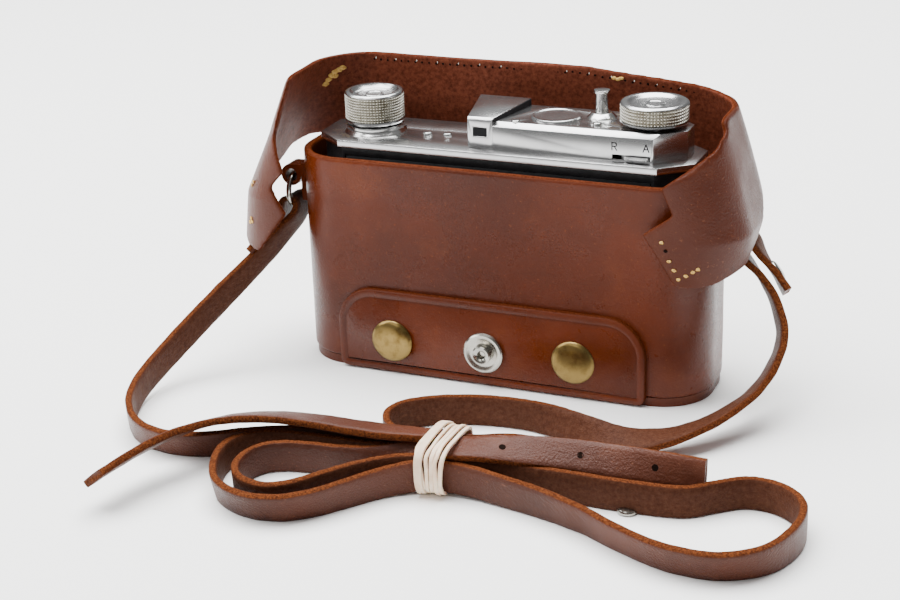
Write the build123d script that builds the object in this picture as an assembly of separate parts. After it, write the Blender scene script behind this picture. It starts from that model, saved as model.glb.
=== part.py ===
"""Rangefinder camera of the 1950s in a leather half-case with its cover band and neck strap.

Frame: millimetres, +Z up, +X along the camera's width, -Y towards the back of the camera, where the
eyepiece is, and +Y towards the lens. The origin is the middle of the case's underside.
"""

from build123d import *
import math
import os

os.makedirs("parts", exist_ok=True)

# ---- driving dimensions -------------------------------------------------------------------------
running_fit = 0.05  # radial play of a shaft in its hole
free_gap = 0.3  # gap between pieces that move past each other

# leather case
case_half_x = 75.9
case_half_y = 22.4
case_corner = 18.0
leather = 2.8
rim_z = 78.5
sole_thick = 3.2
sole_lip = -0.5
liner_top = 4.7
lens_cut_r = 30.5

# snap patch and its metal
patch_left = -58.0
patch_right = 57.0
patch_top = 31.5
patch_bottom = 0.6
patch_corner = 14.0
patch_thick = 2.2
cap_r = 7.8
cap_places = [(-36.9, 12.8), (31.4, 13.7)]
stud_place = (-1.6, 12.9)

# camera body and top plate
plate_half_x = 69.0
plate_half_y = 16.8
plate_cut_x = 10.8
plate_cut_y = 8.9
plate_bottom = 81.0
plate_top = 83.5
body_inset = 1.2
body_wall = 2.0
camera_floor = 5.0
floor_plate = 1.4

# rangefinder cover and viewfinder hood
deck_top = 93.3
deck_left = -10.33
deck_right = 65.2
deck_half_y = 12.16
deck_cut_x = 9.6
deck_cut_y = 8.0
deck_wall = 1.1
hood_front_x = -1.2
hood_back_x = 4.0
hood_flare = 4.7
hood_low = 94.5
hood_high = 95.8

# knobs
wind_x = 52.5
wind_r = 11.66
wind_bottom = 94.8
wind_top = 101.8
rewind_x = -50.9
rewind_r = 10.63
rewind_bottom = 86.9
rewind_top = 98.0
collar_r = 10.4
shaft_r = 2.5

# film transport
gear_module = 0.8
wind_teeth = 20
drum_teeth = 16
gear_backlash = 0.15
gear_bottom = 74.0
gear_top = 77.0
drum_x = wind_x - gear_module * (wind_teeth + drum_teeth) / 2 - gear_backlash

# shutter release and film selector
release_x = 32.4
release_y = 5.0
release_r = 2.2
release_cap_r = 2.75
release_top = 102.7
release_travel = 2.0

# lens, on an axis along Y
lens_z = 40.0
tube_r = 22.0
tube_bore = 20.0
focus_r = 27.0
shutter_r = 25.0

# cover band
band_thick = 2.2
band_low = 42.0
band_high = 105.0

# rings and strap
ring_r = 6.2
ring_wire = 1.0
ring_x = 82.0
ring_y = 5.0
ring_z = 59.8
strap_width = 10.5
strap_thick = 2.6


# screw through the case floor
screw_x = 30.0
screw_head_r = 9.0
screw_neck_r = 4.8
socket_r = 3.175  # 1/4 inch thread

# back door and film gate
door_half_x = 56.0
door_inner_y = -13.0
door_bottom = 9.0
door_top = 78.0
gate_half_x = 18.0
gate_half_z = 12.0

# rangefinder adjuster, windows, selector slot and small screws
cap_x = 17.4
cap_y = 0.9
cap_seat_r = 8.6
window_x = 44.0
window_z = 88.6
eye_left = -8.4
eye_right = -3.3
eye_low = 87.8
eye_high = 90.9
glass_left = -12.4
glass_right = 1.6
glass_low = 85.6
glass_high = 93.8
slot_left = 41.5
slot_right = 54.6
slot_low = 84.1
slot_high = 85.7
plate_screw_places = [(-30.5, -0.4), (-23.3, 0.4)]
deck_screw_places = [(6.4, -9.4), (33.9, -4.6)]

# front element
dome_r = 10.5
dome_rise = 1.5
dome_sphere = (dome_r**2 + dome_rise**2) / (2 * dome_rise)

# cover band: (height, left, right, near, far) of its outline
band_corner = 20.0
band_levels = [
    (band_low, -100.0, 87.0, -28.5, 28.0),
    (62.0, -97.5, 89.6, -28.5, 27.8),
    (84.0, -87.0, 83.2, -28.0, 27.4),
    (band_high, -78.5, 76.6, -28.0, 26.6),
]

# tied hank and the snap on the strap
hank_left = 5.0
hank_right = 23.0
hank_near = -110.5
hank_far = -85.8
hank_low = 1.4
hank_top = 16.0
snap_x = 75.0
snap_y = -96.0
snap_r = 3.7
strap_rivet_share = 0.55  # of the way up the last run

# centre lines of the strap's runs
left_route = [
    (5.0, -92.5, 5.6),
    (-16.0, -92.5, 5.6),
    (-37.0, -93.5, 5.4),
    (-51.0, -100.0, 5.4),
    (-63.0, -108.5, 5.4),
    (-76.0, -111.5, 5.4),
    (-90.0, -107.0, 5.4),
    (-102.0, -95.0, 5.4),
    (-110.0, -79.0, 6.0),
    (-111.0, -61.0, 9.5),
    (-106.5, -44.0, 17.5),
    (-99.5, -29.0, 27.0),
    (-91.5, -16.0, 37.0),
    (-84.6, -7.2, 47.4),
]
right_route = [
    (5.0, -87.5, 5.8),
    (-6.0, -87.5, 5.8),
    (-15.5, -79.5, 5.6),
    (-17.0, -67.5, 5.4),
    (-6.0, -58.0, 5.4),
    (12.0, -52.5, 5.4),
    (30.0, -51.5, 5.4),
    (46.0, -57.0, 5.4),
    (61.0, -62.5, 5.5),
    (76.0, -54.5, 5.8),
    (88.5, -38.5, 8.0),
    (98.0, -22.0, 13.5),
    (101.5, -9.0, 25.0),
    (96.5, -0.5, 36.0),
    (85.8, 4.6, 47.4),
]
plain_route = [
    (5.0, -96.2, 14.2),
    (-12.0, -96.2, 14.2),
    (-30.0, -95.2, 14.0),
    (-47.0, -97.0, 14.2),
    (-60.0, -104.0, 14.4),
    (-70.0, -116.0, 14.2),
    (-77.5, -133.0, 13.0),
    (-80.5, -150.5, 12.0),
]
punched_route = [
    (23.0, -92.5, 13.5),
    (43.0, -92.5, 13.5),
    (68.0, -89.5, 13.4),
    (95.0, -85.5, 12.6),
]


# ---- helpers ------------------------------------------------------------------------------------
def block(x0, x1, y0, y1, z0, z1):
    """Box between two corners."""
    return Pos((x0 + x1) / 2, (y0 + y1) / 2, (z0 + z1) / 2) * Box(x1 - x0, y1 - y0, z1 - z0)


def rod_z(x, y, r, z0, z1):
    """Cylinder along Z."""
    return Pos(x, y, (z0 + z1) / 2) * Cylinder(r, z1 - z0)


def rod_y(x, z, r, y0, y1):
    """Cylinder along Y."""
    return Pos(x, (y0 + y1) / 2, z) * Rot(90, 0, 0) * Cylinder(r, y1 - y0)


def ring_z_axis(x, y, r_out, r_in, z0, z1):
    """Tube along Z."""
    return rod_z(x, y, r_out, z0, z1) - rod_z(x, y, r_in, z0 - 1, z1 + 1)


def ring_y_axis(x, z, r_out, r_in, y0, y1):
    """Tube along Y."""
    return rod_y(x, z, r_out, y0, y1) - rod_y(x, z, r_in, y0 - 1, y1 + 1)


def slab(outline, z0, z1):
    """A closed outline of plan points, raised from z0 to z1."""
    return Pos(0, 0, z0) * extrude(make_face(Polyline(*outline, close=True)), z1 - z0)


def wall_slab(outline, y0, y1):
    """A closed outline of (x, z) points, raised along Y from y0 to y1."""
    face = make_face(Polyline(*[(x, y0, z) for x, z in outline], close=True))
    return extrude(face, y1 - y0, dir=(0, 1, 0))


def end_slab(outline, x0, x1):
    """A closed outline of (y, z) points, raised along X from x0 to x1."""
    face = make_face(Polyline(*[(x0, y, z) for y, z in outline], close=True))
    return extrude(face, x1 - x0, dir=(1, 0, 0))


def octagon(half_x, half_y, cut_x, cut_y, z0, z1):
    """Plate with its four corners cut off."""
    points = [
        (half_x, half_y - cut_y),
        (half_x - cut_x, half_y),
        (cut_x - half_x, half_y),
        (-half_x, half_y - cut_y),
        (-half_x, cut_y - half_y),
        (cut_x - half_x, -half_y),
        (half_x - cut_x, -half_y),
        (half_x, cut_y - half_y),
    ]
    return slab(points, z0, z1)


def round_tub(half_x, half_y, corner, z0, z1):
    """Upright block with rounded corners in plan."""
    face = RectangleRounded(2 * half_x, 2 * half_y, corner)
    return Pos(0, 0, z0) * extrude(face, z1 - z0)


def save(name, shape):
    """Writes one named piece."""
    export_step(shape, f"parts/{name}.step")


def group(solids):
    """Several separate solids kept under one name."""
    return Compound(children=list(solids))


def spur_gear(x, teeth, bore, z0, z1, turn=0.0):
    """Straight-cut gear with flat flanks, turned by a share of one tooth."""
    pitch = gear_module * teeth / 2
    tip = pitch + 0.8 * gear_module
    root = pitch - 1.1 * gear_module
    points = []
    for tooth in range(teeth):
        middle = (tooth + turn) * 2 * math.pi / teeth
        for radius, share in ((root, -0.30), (tip, -0.13), (tip, 0.13), (root, 0.30)):
            angle = middle + share * 2 * math.pi / teeth
            points.append((x + radius * math.cos(angle), radius * math.sin(angle)))
    return slab(points, z0, z1) - rod_z(x, 0, bore, z0 - 1, z1 + 1)


# ---- leather case -------------------------------------------------------------------------------
def case_pieces():
    """Tub, sole, insert, snap patch and the metal on it."""
    inner_x = case_half_x - leather
    inner_y = case_half_y - leather
    inner_corner = case_corner - leather
    wall = round_tub(case_half_x, case_half_y, case_corner, sole_thick, rim_z)
    wall -= round_tub(inner_x, inner_y, inner_corner, sole_thick - 1, rim_z + 1)
    wall -= rod_y(0, lens_z, lens_cut_r, inner_y - 4, case_half_y + 1)
    wall -= block(-lens_cut_r, lens_cut_r, inner_y - 4, case_half_y + 1, lens_z, rim_z + 1)
    for x, z in [*cap_places, stud_place]:
        wall -= rod_y(x, z, 1.5, -case_half_y - 1, -inner_y + 1)
    save("case_shell", wall)

    sole = round_tub(case_half_x + sole_lip, case_half_y + sole_lip, case_corner, 0, sole_thick)
    sole -= rod_z(screw_x, 0, screw_head_r + free_gap, -1, 1.6)
    sole -= rod_z(screw_x, 0, screw_neck_r + free_gap, -1, sole_thick + 1)
    insert = round_tub(inner_x, inner_y, inner_corner, sole_thick, liner_top)
    insert -= rod_z(screw_x, 0, screw_neck_r + free_gap, sole_thick - 1, liner_top + 1)
    save("case_base", sole)
    save("case_insert", insert)

    low_y = -case_half_y - patch_thick
    patch = block(patch_left, patch_right, low_y, -case_half_y, patch_bottom, patch_top)
    patch = fillet(patch.edges().filter_by(Axis.Y).group_by(Axis.Z)[-1], patch_corner)
    for x, z in [*cap_places, stud_place]:
        patch -= rod_y(x, z, 1.5, low_y - 1, -case_half_y + 1)
    save("snap_patch", patch)

    caps = []
    for x, z in cap_places:
        head = rod_y(x, z, cap_r, low_y - 1.5, low_y)
        head = fillet(head.edges().group_by(Axis.Y)[0], 1.0)
        shank = rod_y(x, z, 1.5, low_y, -inner_y)
        washer = rod_y(x, z, 4.0, -inner_y, -inner_y + 0.6)
        caps.append(head + shank + washer)
    save("patch_caps", group(caps))

    x, z = stud_place
    stud = rod_y(x, z, 7.5, low_y - 1.0, low_y)
    stud += rod_y(x, z, 3.9, low_y - 4.2, low_y - 1.0)
    stud -= ring_y_axis(x, z, 5.0, 3.2, low_y - 2.4, low_y - 1.6)
    stud -= rod_y(x, z, 1.3, low_y - 5, low_y - 3)
    stud += rod_y(x, z, 1.5, low_y, -inner_y)
    stud += rod_y(x, z, 4.0, -inner_y, -inner_y + 0.6)
    save("snap_stud", stud)


def case_screw():
    """Screw through the case floor: its thread holds the camera and its head takes a tripod."""
    head = rod_z(screw_x, 0, screw_head_r, 0.2, 1.3)
    neck = rod_z(screw_x, 0, screw_neck_r, 1.3, liner_top)
    thread = rod_z(screw_x, 0, 3.1, liner_top, camera_floor + 5.0)
    socket = rod_z(screw_x, 0, socket_r, -1, liner_top - 0.6)
    save("case_screw", head + neck + thread - socket)


# ---- camera body --------------------------------------------------------------------------------
def camera_shell():
    """Cast body with its two film chambers, open at the back, top and bottom."""
    low = camera_floor + floor_plate
    half_x = plate_half_x - body_inset
    half_y = plate_half_y - body_inset
    body = octagon(half_x, half_y, plate_cut_x, plate_cut_y, low, plate_bottom)
    room_x = half_x - body_wall
    room_y = half_y - body_wall
    inner = octagon(room_x, room_y, plate_cut_x, plate_cut_y, low - 1, gear_top + 2.5)
    hollow = inner - block(-24, -22, -9.2, 20, 0, 90) - block(22, 24, -9.2, 20, 0, 90)
    body -= hollow
    body -= block(-door_half_x, door_half_x, -half_y - 1, door_inner_y, door_bottom, door_top)
    body -= rod_y(0, lens_z, tube_bore, half_y - body_wall - 1, half_y + 1)
    body -= rod_z(wind_x, 0, shaft_r + 0.6, 60, 90)
    body -= rod_z(rewind_x, 0, shaft_r + 2.4, 60, 90)
    body -= rod_z(release_x, release_y, 1.5, 60, 90)
    body -= rod_z(screw_x, 0, 5, 0, low + 1)
    body -= rod_z(drum_x, 0, 2.5 + running_fit, gear_top + 1, gear_top + 3.5)
    save("camera_body", body)


def back_and_gate():
    """Back door with its latch side, pressure plate on leaf springs, and the film gate."""
    half_y = plate_half_y - body_inset
    door = block(
        -door_half_x + 0.2, door_half_x - 0.2, -half_y, -half_y + 1.4, door_bottom + 0.2, door_top - 0.2
    )
    save("back_door", door)

    plate = block(-24, 24, -12.6, -11.4, lens_z - 17, lens_z + 17)
    springs = block(-20, -14, -14.2, -12.6, lens_z - 8, lens_z + 8)
    springs += block(14, 20, -14.2, -12.6, lens_z - 8, lens_z + 8)
    save("pressure_plate", plate + springs)

    gate = block(-21.8, 21.8, -10.8, -9.2, lens_z - 17.5, lens_z + 17.5)
    gate -= block(-gate_half_x, gate_half_x, -12, -8, lens_z - gate_half_z, lens_z + gate_half_z)
    for side in (-1, 1):
        height = lens_z + side * (gate_half_z + 2.2)
        gate += block(-21.8, 21.8, -11.2, -10.8, height - 0.6, height + 0.6)
    box = block(-21.8, 21.8, -9.2, 13.0, lens_z - 20, lens_z + 20)
    box -= block(-20.6, 20.6, -10, 14, lens_z - 18.8, lens_z + 18.8)
    save("film_gate", gate + box)


def plates():
    """Bottom plate with the tripod bush, and top plate."""
    low = camera_floor + floor_plate
    floor = octagon(plate_half_x - 0.6, plate_half_y - 0.6, plate_cut_x, plate_cut_y, camera_floor, low)
    floor -= rod_z(screw_x, 0, 3.2, 0, low + 1)
    save("bottom_plate", floor)
    save("tripod_bush", ring_z_axis(screw_x, 0, 4.9, 3.2, low, low + 6.0))

    top = octagon(plate_half_x, plate_half_y, plate_cut_x, plate_cut_y, plate_bottom, plate_top)
    top -= rod_z(wind_x, 0, shaft_r + running_fit, 60, 90)
    top -= rod_z(rewind_x, 0, shaft_r + 1.3, 60, 90)
    top -= rod_z(release_x, release_y, 1.5, 60, 90)
    save("top_plate", top)


# ---- top housings -------------------------------------------------------------------------------
def deck_outline(inset):
    """Plan of the rangefinder cover, drawn in by a wall thickness."""
    left = deck_left + inset
    right = deck_right - inset
    side = deck_half_y - inset
    return [
        (left, -side),
        (right - deck_cut_x, -side),
        (right, deck_cut_y - side),
        (right, side - deck_cut_y),
        (right - deck_cut_x, side),
        (left, side),
    ]


def hood_plan(inset):
    """Plan of the viewfinder hood, which widens towards its front window."""
    side = deck_half_y - inset
    return [
        (deck_left + inset, -side),
        (hood_front_x - inset, -side),
        (hood_back_x - inset, side),
        (deck_left - hood_flare + inset, side),
    ]


def top_housings():
    """Rangefinder cover, viewfinder hood and what is on and in them."""
    cover = slab(deck_outline(0), plate_top, deck_top)
    cover = chamfer(cover.edges().group_by(Axis.Z)[-1].sort_by(Axis.Y)[0], 1.6)
    cover -= slab(deck_outline(deck_wall), plate_top - 1, deck_top - deck_wall)
    cover -= slab(hood_plan(0), plate_top - 1, deck_top + 1)
    cover -= rod_z(wind_x, 0, shaft_r + 0.6, 60, 110)
    cover -= rod_z(release_x, release_y, 3.2, 60, 110)
    cover -= rod_z(cap_x, cap_y, cap_seat_r, deck_top - 0.6, 110)
    cover -= block(slot_left, slot_right, -deck_half_y - 1, -deck_half_y + 2.5, slot_low, slot_high)
    cover -= rod_y(window_x, window_z, 3.4, deck_half_y - 3, deck_half_y + 1)
    for x, y in deck_screw_places:
        cover -= rod_z(x, y, 0.9, deck_top - 3, deck_top + 1)
    save("rangefinder_cover", cover)

    profile = [
        (-deck_half_y, plate_top),
        (-deck_half_y, hood_low - 0.8),
        (-deck_half_y + 0.8, hood_low),
        (deck_half_y, hood_high),
        (deck_half_y, plate_top),
    ]
    inside = [
        (-deck_half_y + 1.1, plate_top - 1),
        (-deck_half_y + 1.1, hood_low - 1.6),
        (deck_half_y - 1.1, hood_high - 1.2),
        (deck_half_y - 1.1, plate_top - 1),
    ]
    hood = end_slab(profile, deck_left - hood_flare, hood_back_x) & slab(hood_plan(0), plate_top, 110)
    room = end_slab(inside, deck_left - hood_flare, hood_back_x)
    hood -= room & slab(hood_plan(1.0), plate_top - 1, 110)
    hood -= block(eye_left, eye_right, -deck_half_y - 1, -deck_half_y + 2, eye_low, eye_high)
    hood -= block(glass_left, glass_right, deck_half_y - 2, deck_half_y + 1, glass_low, glass_high)
    save("viewfinder_hood", hood)

    eye = block(eye_left, eye_right, -deck_half_y + 0.4, -deck_half_y + 1.0, eye_low, eye_high)
    save("finder_eyepiece", eye)
    front = block(glass_left, glass_right, deck_half_y - 1.0, deck_half_y - 0.4, glass_low, glass_high)
    save("finder_objective", front)
    save("rangefinder_window", rod_y(window_x, window_z, 3.4, deck_half_y - 1.1, deck_half_y - 0.4))

    splitter = Pos(-5.5, 0, 88.2) * Rot(0, 0, 45) * Box(0.6, 7.0, 5.6)
    save("beam_splitter", splitter + block(-7.5, -3.5, -2, 2, plate_top, 85.6))

    cap = rod_z(cap_x, cap_y, cap_seat_r, deck_top - 0.6, deck_top + 0.5)
    cap = fillet(cap.edges().group_by(Axis.Z)[-1], 0.4)
    for side in (-1, 1):
        cap -= rod_z(cap_x - side * 0.3, cap_y + side * 6.6, 0.7, deck_top - 0.2, deck_top + 1)
    save("adjuster_cap", cap)

    screws = [screw(x, y, plate_top) for x, y in plate_screw_places]
    screws += [screw(x, y, deck_top) for x, y in deck_screw_places]
    save("deck_screws", group(screws))


def screw(x, y, z):
    """Slotted screw with a low round head, seated on z."""
    head = rod_z(x, y, 1.5, z, z + 0.7)
    head = fillet(head.edges().group_by(Axis.Z)[-1], 0.4)
    head -= block(x - 2, x + 2, y - 0.2, y + 0.2, z + 0.35, z + 1)
    if z == deck_top:
        head += rod_z(x, y, 0.9, z - 2.6, z)
    return head


# ---- moving pieces on the top -------------------------------------------------------------------
def dished_knob(x, r, z0, z1, rim, depth):
    """Round knob with a turned hollow in its top and bevelled rims."""
    knob = rod_z(x, 0, r, z0, z1)
    knob = chamfer(knob.edges().group_by(Axis.Z)[-1], 0.7)
    knob = chamfer(knob.edges().group_by(Axis.Z)[0], 0.4)
    dish = Cone(r - rim - 1.5, r - rim, depth, align=(Align.CENTER, Align.CENTER, Align.MIN))
    return knob - Pos(x, 0, z1 - depth) * dish


def wind_pieces():
    """Wind knob on its shaft, with the gear and the take-up spool below, and the film sprocket."""
    save("wind_knob", dished_knob(wind_x, wind_r, wind_bottom, wind_top, 1.6, 1.2))
    save("wind_shaft", rod_z(wind_x, 0, shaft_r, 12.0, wind_bottom))
    save("wind_gear", spur_gear(wind_x, wind_teeth, shaft_r, gear_bottom, gear_top, 0.5))
    spool = ring_z_axis(wind_x, 0, 6.0, shaft_r, 24, 58)
    spool += ring_z_axis(wind_x, 0, 8.9, shaft_r, 22.5, 24)
    spool += ring_z_axis(wind_x, 0, 8.9, shaft_r, 58, 59.5)
    spool -= block(wind_x - 10, wind_x - shaft_r - 0.6, -0.6, 0.6, 30, 52)
    save("take_up_spool", spool)

    drum = rod_z(drum_x, 0, 4.4, 20, 60)
    for height in (23.5, 56.5):
        for tooth in range(8):
            angle = tooth * 2 * math.pi / 8
            x = drum_x + 4.6 * math.cos(angle)
            y = 4.6 * math.sin(angle)
            drum += Pos(x, y, height) * Rot(0, 0, math.degrees(angle)) * Box(1.2, 0.9, 1.2)
    drum += rod_z(drum_x, 0, 2.5, 60, gear_top + 3.4)
    save("sprocket_drum", drum)
    save("sprocket_gear", spur_gear(drum_x, drum_teeth, 2.5, gear_bottom, gear_top, 0.0))


def rewind_pieces():
    """Rewind knob that turns, and pulls up out of the cassette on its sleeve."""
    collar = ring_z_axis(rewind_x, 0, collar_r, shaft_r + 1.3, plate_top, rewind_bottom - free_gap - 1.0)
    save("rewind_collar", chamfer(collar.edges().group_by(Axis.Z)[-1].sort_by(SortBy.RADIUS)[-1], 0.5))
    sleeve = ring_z_axis(rewind_x, 0, shaft_r + 1.25, shaft_r + running_fit, 70.0, rewind_bottom - 0.9)
    sleeve += ring_z_axis(rewind_x, 0, shaft_r + 2.1, shaft_r + running_fit, 70.0, 72.0)
    save("rewind_sleeve", sleeve)
    save("rewind_knob", dished_knob(rewind_x, rewind_r, rewind_bottom, rewind_top, 1.5, 1.6))
    shaft = rod_z(rewind_x, 0, shaft_r, 62.0, rewind_bottom)
    shaft += rod_z(rewind_x, 0, 3.6, 66.0, 69.6)
    fork = rod_z(rewind_x, 0, 3.6, 56.0, 62.0) - block(rewind_x - 5, rewind_x + 5, -1.2, 1.2, 55.0, 60.0)
    save("rewind_shaft", shaft + fork)


def release_pieces():
    """Release button on its stem, in a flared boss, over a return spring."""
    boss = Pos(release_x, release_y, deck_top) * Cone(
        5.2, 3.4, 1.6, align=(Align.CENTER, Align.CENTER, Align.MIN)
    )
    boss += rod_z(release_x, release_y, 3.2, deck_top - 3.0, deck_top)
    boss -= rod_z(release_x, release_y, release_r + running_fit, 80, 110)
    save("release_boss", boss)

    stem = rod_z(release_x, release_y, release_r, 90.6, release_top - 1.0)
    stem += rod_z(release_x, release_y, release_cap_r, release_top - 1.0, release_top)
    stem += rod_z(release_x, release_y, 1.3, gear_top + release_travel + 0.5, 90.6)
    save("release_button", stem)

    coil = Helix(pitch=1.35, height=6.3, radius=2.1, center=(release_x, release_y, plate_top + 0.4))
    start = coil @ 0
    wire = sweep(Plane(origin=start, z_dir=coil % 0) * Circle(0.25), path=coil, is_frenet=True)
    save("release_spring", wire)


def selector():
    """Film selector: a small knurled slide in the slot of the rangefinder cover."""
    thumb_left = 45.9
    thumb_right = 54.2
    front = -deck_half_y - 1.8
    plan = [(thumb_left, -deck_half_y + 1.4)]
    plan += [(thumb_left, front + 0.9), (thumb_left + 2.6, front + 0.2), (thumb_right - 2.6, front + 0.2)]
    plan += [(thumb_right, front + 0.9), (thumb_right, -deck_half_y + 1.4)]
    slide = slab(plan, slot_low + 0.3, slot_high - 0.3)
    slide += block(thumb_left - 1.5, thumb_right, -deck_half_y + 1.4, -deck_half_y + 2.4, 84.0, 86.6)
    save("selector_slide", slide)


# ---- lens and shutter ---------------------------------------------------------------------------
def lens_pieces():
    """Focusing mount fixed to the body, and the shutter unit that it carries along the lens axis."""
    face_y = plate_half_y - body_inset
    mount = ring_y_axis(0, lens_z, 28.0, tube_bore, face_y, face_y + 2.6)
    mount += ring_y_axis(0, lens_z, tube_r, tube_bore, face_y, 30.0)
    save("lens_mount", mount)
    focus = ring_y_axis(0, lens_z, focus_r, tube_r + running_fit, 18.7, 25.4)
    save("focus_ring", chamfer(focus.edges().group_by(Axis.Y)[-1].sort_by(SortBy.RADIUS)[-1], 0.8))
    save("depth_ring", ring_y_axis(0, lens_z, 26.0, tube_r, 25.8, 29.6))

    housing = ring_y_axis(0, lens_z, tube_bore - 0.1, 17.0, 13.0, 30.4)
    housing += ring_y_axis(0, lens_z, 17.0, 8.5, 15.0, 18.0)
    housing += ring_y_axis(0, lens_z, 23.0, 17.0, 30.4, 34.0)
    housing += ring_y_axis(0, lens_z, shutter_r, 17.0, 34.0, 38.0)
    housing += ring_y_axis(0, lens_z, tube_r, 17.0, 38.0, 42.6)
    save("shutter_housing", housing)
    save("aperture_ring", ring_y_axis(0, lens_z, 25.9, 23.0 + running_fit, 30.8, 33.6))
    save("speed_ring", ring_y_axis(0, lens_z, 25.4, tube_r + running_fit, 38.4, 41.2))

    bezel = ring_y_axis(0, lens_z, 24.6, 10.5, 42.6, 43.6)
    bezel = chamfer(bezel.edges().group_by(Axis.Y)[-1].sort_by(SortBy.RADIUS)[-1], 0.6)
    bezel += ring_y_axis(0, lens_z, 17.0, 10.5, 39.0, 42.6)
    bezel -= Pos(0, 43.61, lens_z) * Rot(90, 0, 0) * Cone(
        16.0, 10.5, 2.6, align=(Align.CENTER, Align.CENTER, Align.MIN)
    )
    save("front_bezel", bezel)

    lever = ring_y_axis(0, lens_z, 26.3, shutter_r + 0.1, 34.6, 37.4)
    keep = Pos(0, 36, lens_z) * Rot(0, 20, 0) * Pos(0, 0, 30) * Box(9, 6, 14)
    lever = lever & keep
    lever += Pos(0, 36, lens_z) * Rot(0, 20, 0) * Pos(0, 0, 28.0) * Box(2.2, 2.8, 4.0)
    save("cocking_lever", lever)

    front = rod_y(0, lens_z, dome_r, 37.6, 40.4)
    ball = Pos(0, 40.4 - dome_sphere + dome_rise, lens_z) * Sphere(dome_sphere)
    front += ball & rod_y(0, lens_z, dome_r, 40.4, 45)
    save("front_element", front)
    save("rear_element", rod_y(0, lens_z, 8.5, 15.4, 17.6))

    blades = []
    for blade in range(5):
        turn = Pos(0, 0, lens_z) * Rot(0, blade * 72.0, 0)
        leaf = ring_y_axis(0, 0, 16.6, 5.0, 0, 0.2)
        leaf = leaf & block(-20, 20, -1, 2, -20, 20) & leaf_wedge()
        blades.append(turn * Pos(0, 32.0, 0) * leaf)
    save("iris_blades", group(blades))
    closed = []
    for blade in range(2):
        side = -1 if blade == 0 else 1
        half = rod_y(0, lens_z, 16.6, 35.0, 35.2) & block(
            min(0.05 * side, 17 * side), max(0.05 * side, 17 * side), 34, 36, 20, 60
        )
        closed.append(half)
    save("shutter_blades", group(closed))


def leaf_wedge():
    """A fifth of a disc, a little short of its neighbours."""
    points = [(0.0, 0.0)]
    for angle in (-35.4, 0.0, 35.4):
        points.append((30 * math.sin(math.radians(angle)), 30 * math.cos(math.radians(angle))))
    return wall_slab(points, -1, 2)


# ---- cover band ---------------------------------------------------------------------------------
def band_ring(level, inset):
    """Outline of the band at one height: nearly the case's plan, spread wider lower down."""
    z, left, right, near, far = level
    x0, x1 = left + inset, right - inset
    y0, y1 = near + inset, far - inset
    corner = band_corner - inset
    shape = RectangleRounded(x1 - x0, y1 - y0, corner)
    return Pos((x0 + x1) / 2, (y0 + y1) / 2, z) * shape


def cover_band():
    """Leather band left from the case's cover: round the front and both ends, open at the back."""
    outer = Solid.make_loft([band_ring(level, 0).wire() for level in band_levels], ruled=True)
    longer = [(band_low - 1e-3, *band_levels[0][1:])]
    longer += band_levels[1:-1]
    longer += [(band_high + 1e-3, *band_levels[-1][1:])]
    inner = Solid.make_loft([band_ring(level, band_thick).wire() for level in longer], ruled=True)
    band = outer - inner

    between_tails = [
        (-72.5, 110),
        (-79.0, 92),
        (-80.5, 84),
        (-75.0, 73),
        (-80.5, 67),
        (-74.5, 57.7),
        (-88.0, 41),
        (-88.0, 30),
        (90.0, 30),
        (90.0, 52.5),
        (70.7, 42.8),
        (56.5, 64.1),
        (66.6, 71.5),
        (62.8, 80.4),
        (78.0, 92),
        (82.0, 110),
    ]
    band -= wall_slab(between_tails, -40, -8)
    band -= wall_slab([(-75, 30), (-75, 72.5), (0, 71.0), (75, 72.5), (75, 30)], 0, 40)
    left_low = [(-30, 30), (-30, 41), (-18, 44), (-10, 52), (0, 62), (10, 71)]
    left_low += [(18, 73.5), (40, 72.5), (40, 30)]
    band -= end_slab(left_low, -120, -60)
    right_low = [(-30, 30), (-30, 46), (-12, 51), (0, 57), (10, 66), (17, 71), (40, 72.5), (40, 30)]
    band -= end_slab(right_low, 60, 120)
    sloping_top = [(15, 105.5), (61, 101.0), (72, 99.4), (100, 98), (100, 120), (15, 120)]
    band -= wall_slab(sloping_top, -40, 40)
    right_top = [(-40, 80), (-27, 84), (-18, 94), (-6, 99), (4, 99.6), (4, 120), (-40, 120)]
    band -= end_slab(right_top, 40, 120)
    save("cover_band", max(band.solids(), key=lambda solid: solid.volume))


# ---- lugs, rings and strap ----------------------------------------------------------------------
def lug(side):
    """Leather lug on one end of the case."""
    y = side * ring_y
    x = side * ring_x
    top = ring_z + ring_r
    end = side * case_half_x
    tab = Pos(end + side, y, ring_z + 4.0) * Box(2.0, 7.0, 14.0)
    eye = rod_y(x, top, 4.0, y - 3.5, y + 3.5)
    bridge = block(min(end, x), max(end, x), y - 3.5, y + 3.5, top + 0.6, top + 4.0)
    whole = tab + eye + bridge - rod_y(x, top, 2.4, y - 5, y + 5)
    return whole - round_tub(case_half_x, case_half_y, case_corner, 0, 100)


def strap_loop(side):
    """End of the strap folded through its ring."""
    y = side * ring_y
    x = side * ring_x
    bottom = ring_z - ring_r
    half = 3.2
    eye = block(x - 4.4, x + 4.4, y - half, y + half, bottom - 5.2, bottom + 3.6)
    eye = fillet(eye.edges().filter_by(Axis.Y), 2.6)
    hole = block(x - 2.4, x + 2.4, y - 5, y + 5, bottom - 2.6, bottom + 2.6)
    hole = fillet(hole.edges().filter_by(Axis.Y), 2.2)
    return eye - hole


def lugs_and_rings():
    """Both lugs, the wire rings that hang in them, and the strap ends folded through the rings."""
    save("strap_lugs", group([lug(-1), lug(1)]))
    save("strap_loops", group([strap_loop(-1), strap_loop(1)]))
    for side, name in ((-1, "left"), (1, "right")):
        ring = Pos(side * ring_x, side * ring_y, ring_z) * Rot(0, 90, 0) * Torus(ring_r, ring_wire)
        save(f"strap_ring_{name}", ring)


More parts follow.
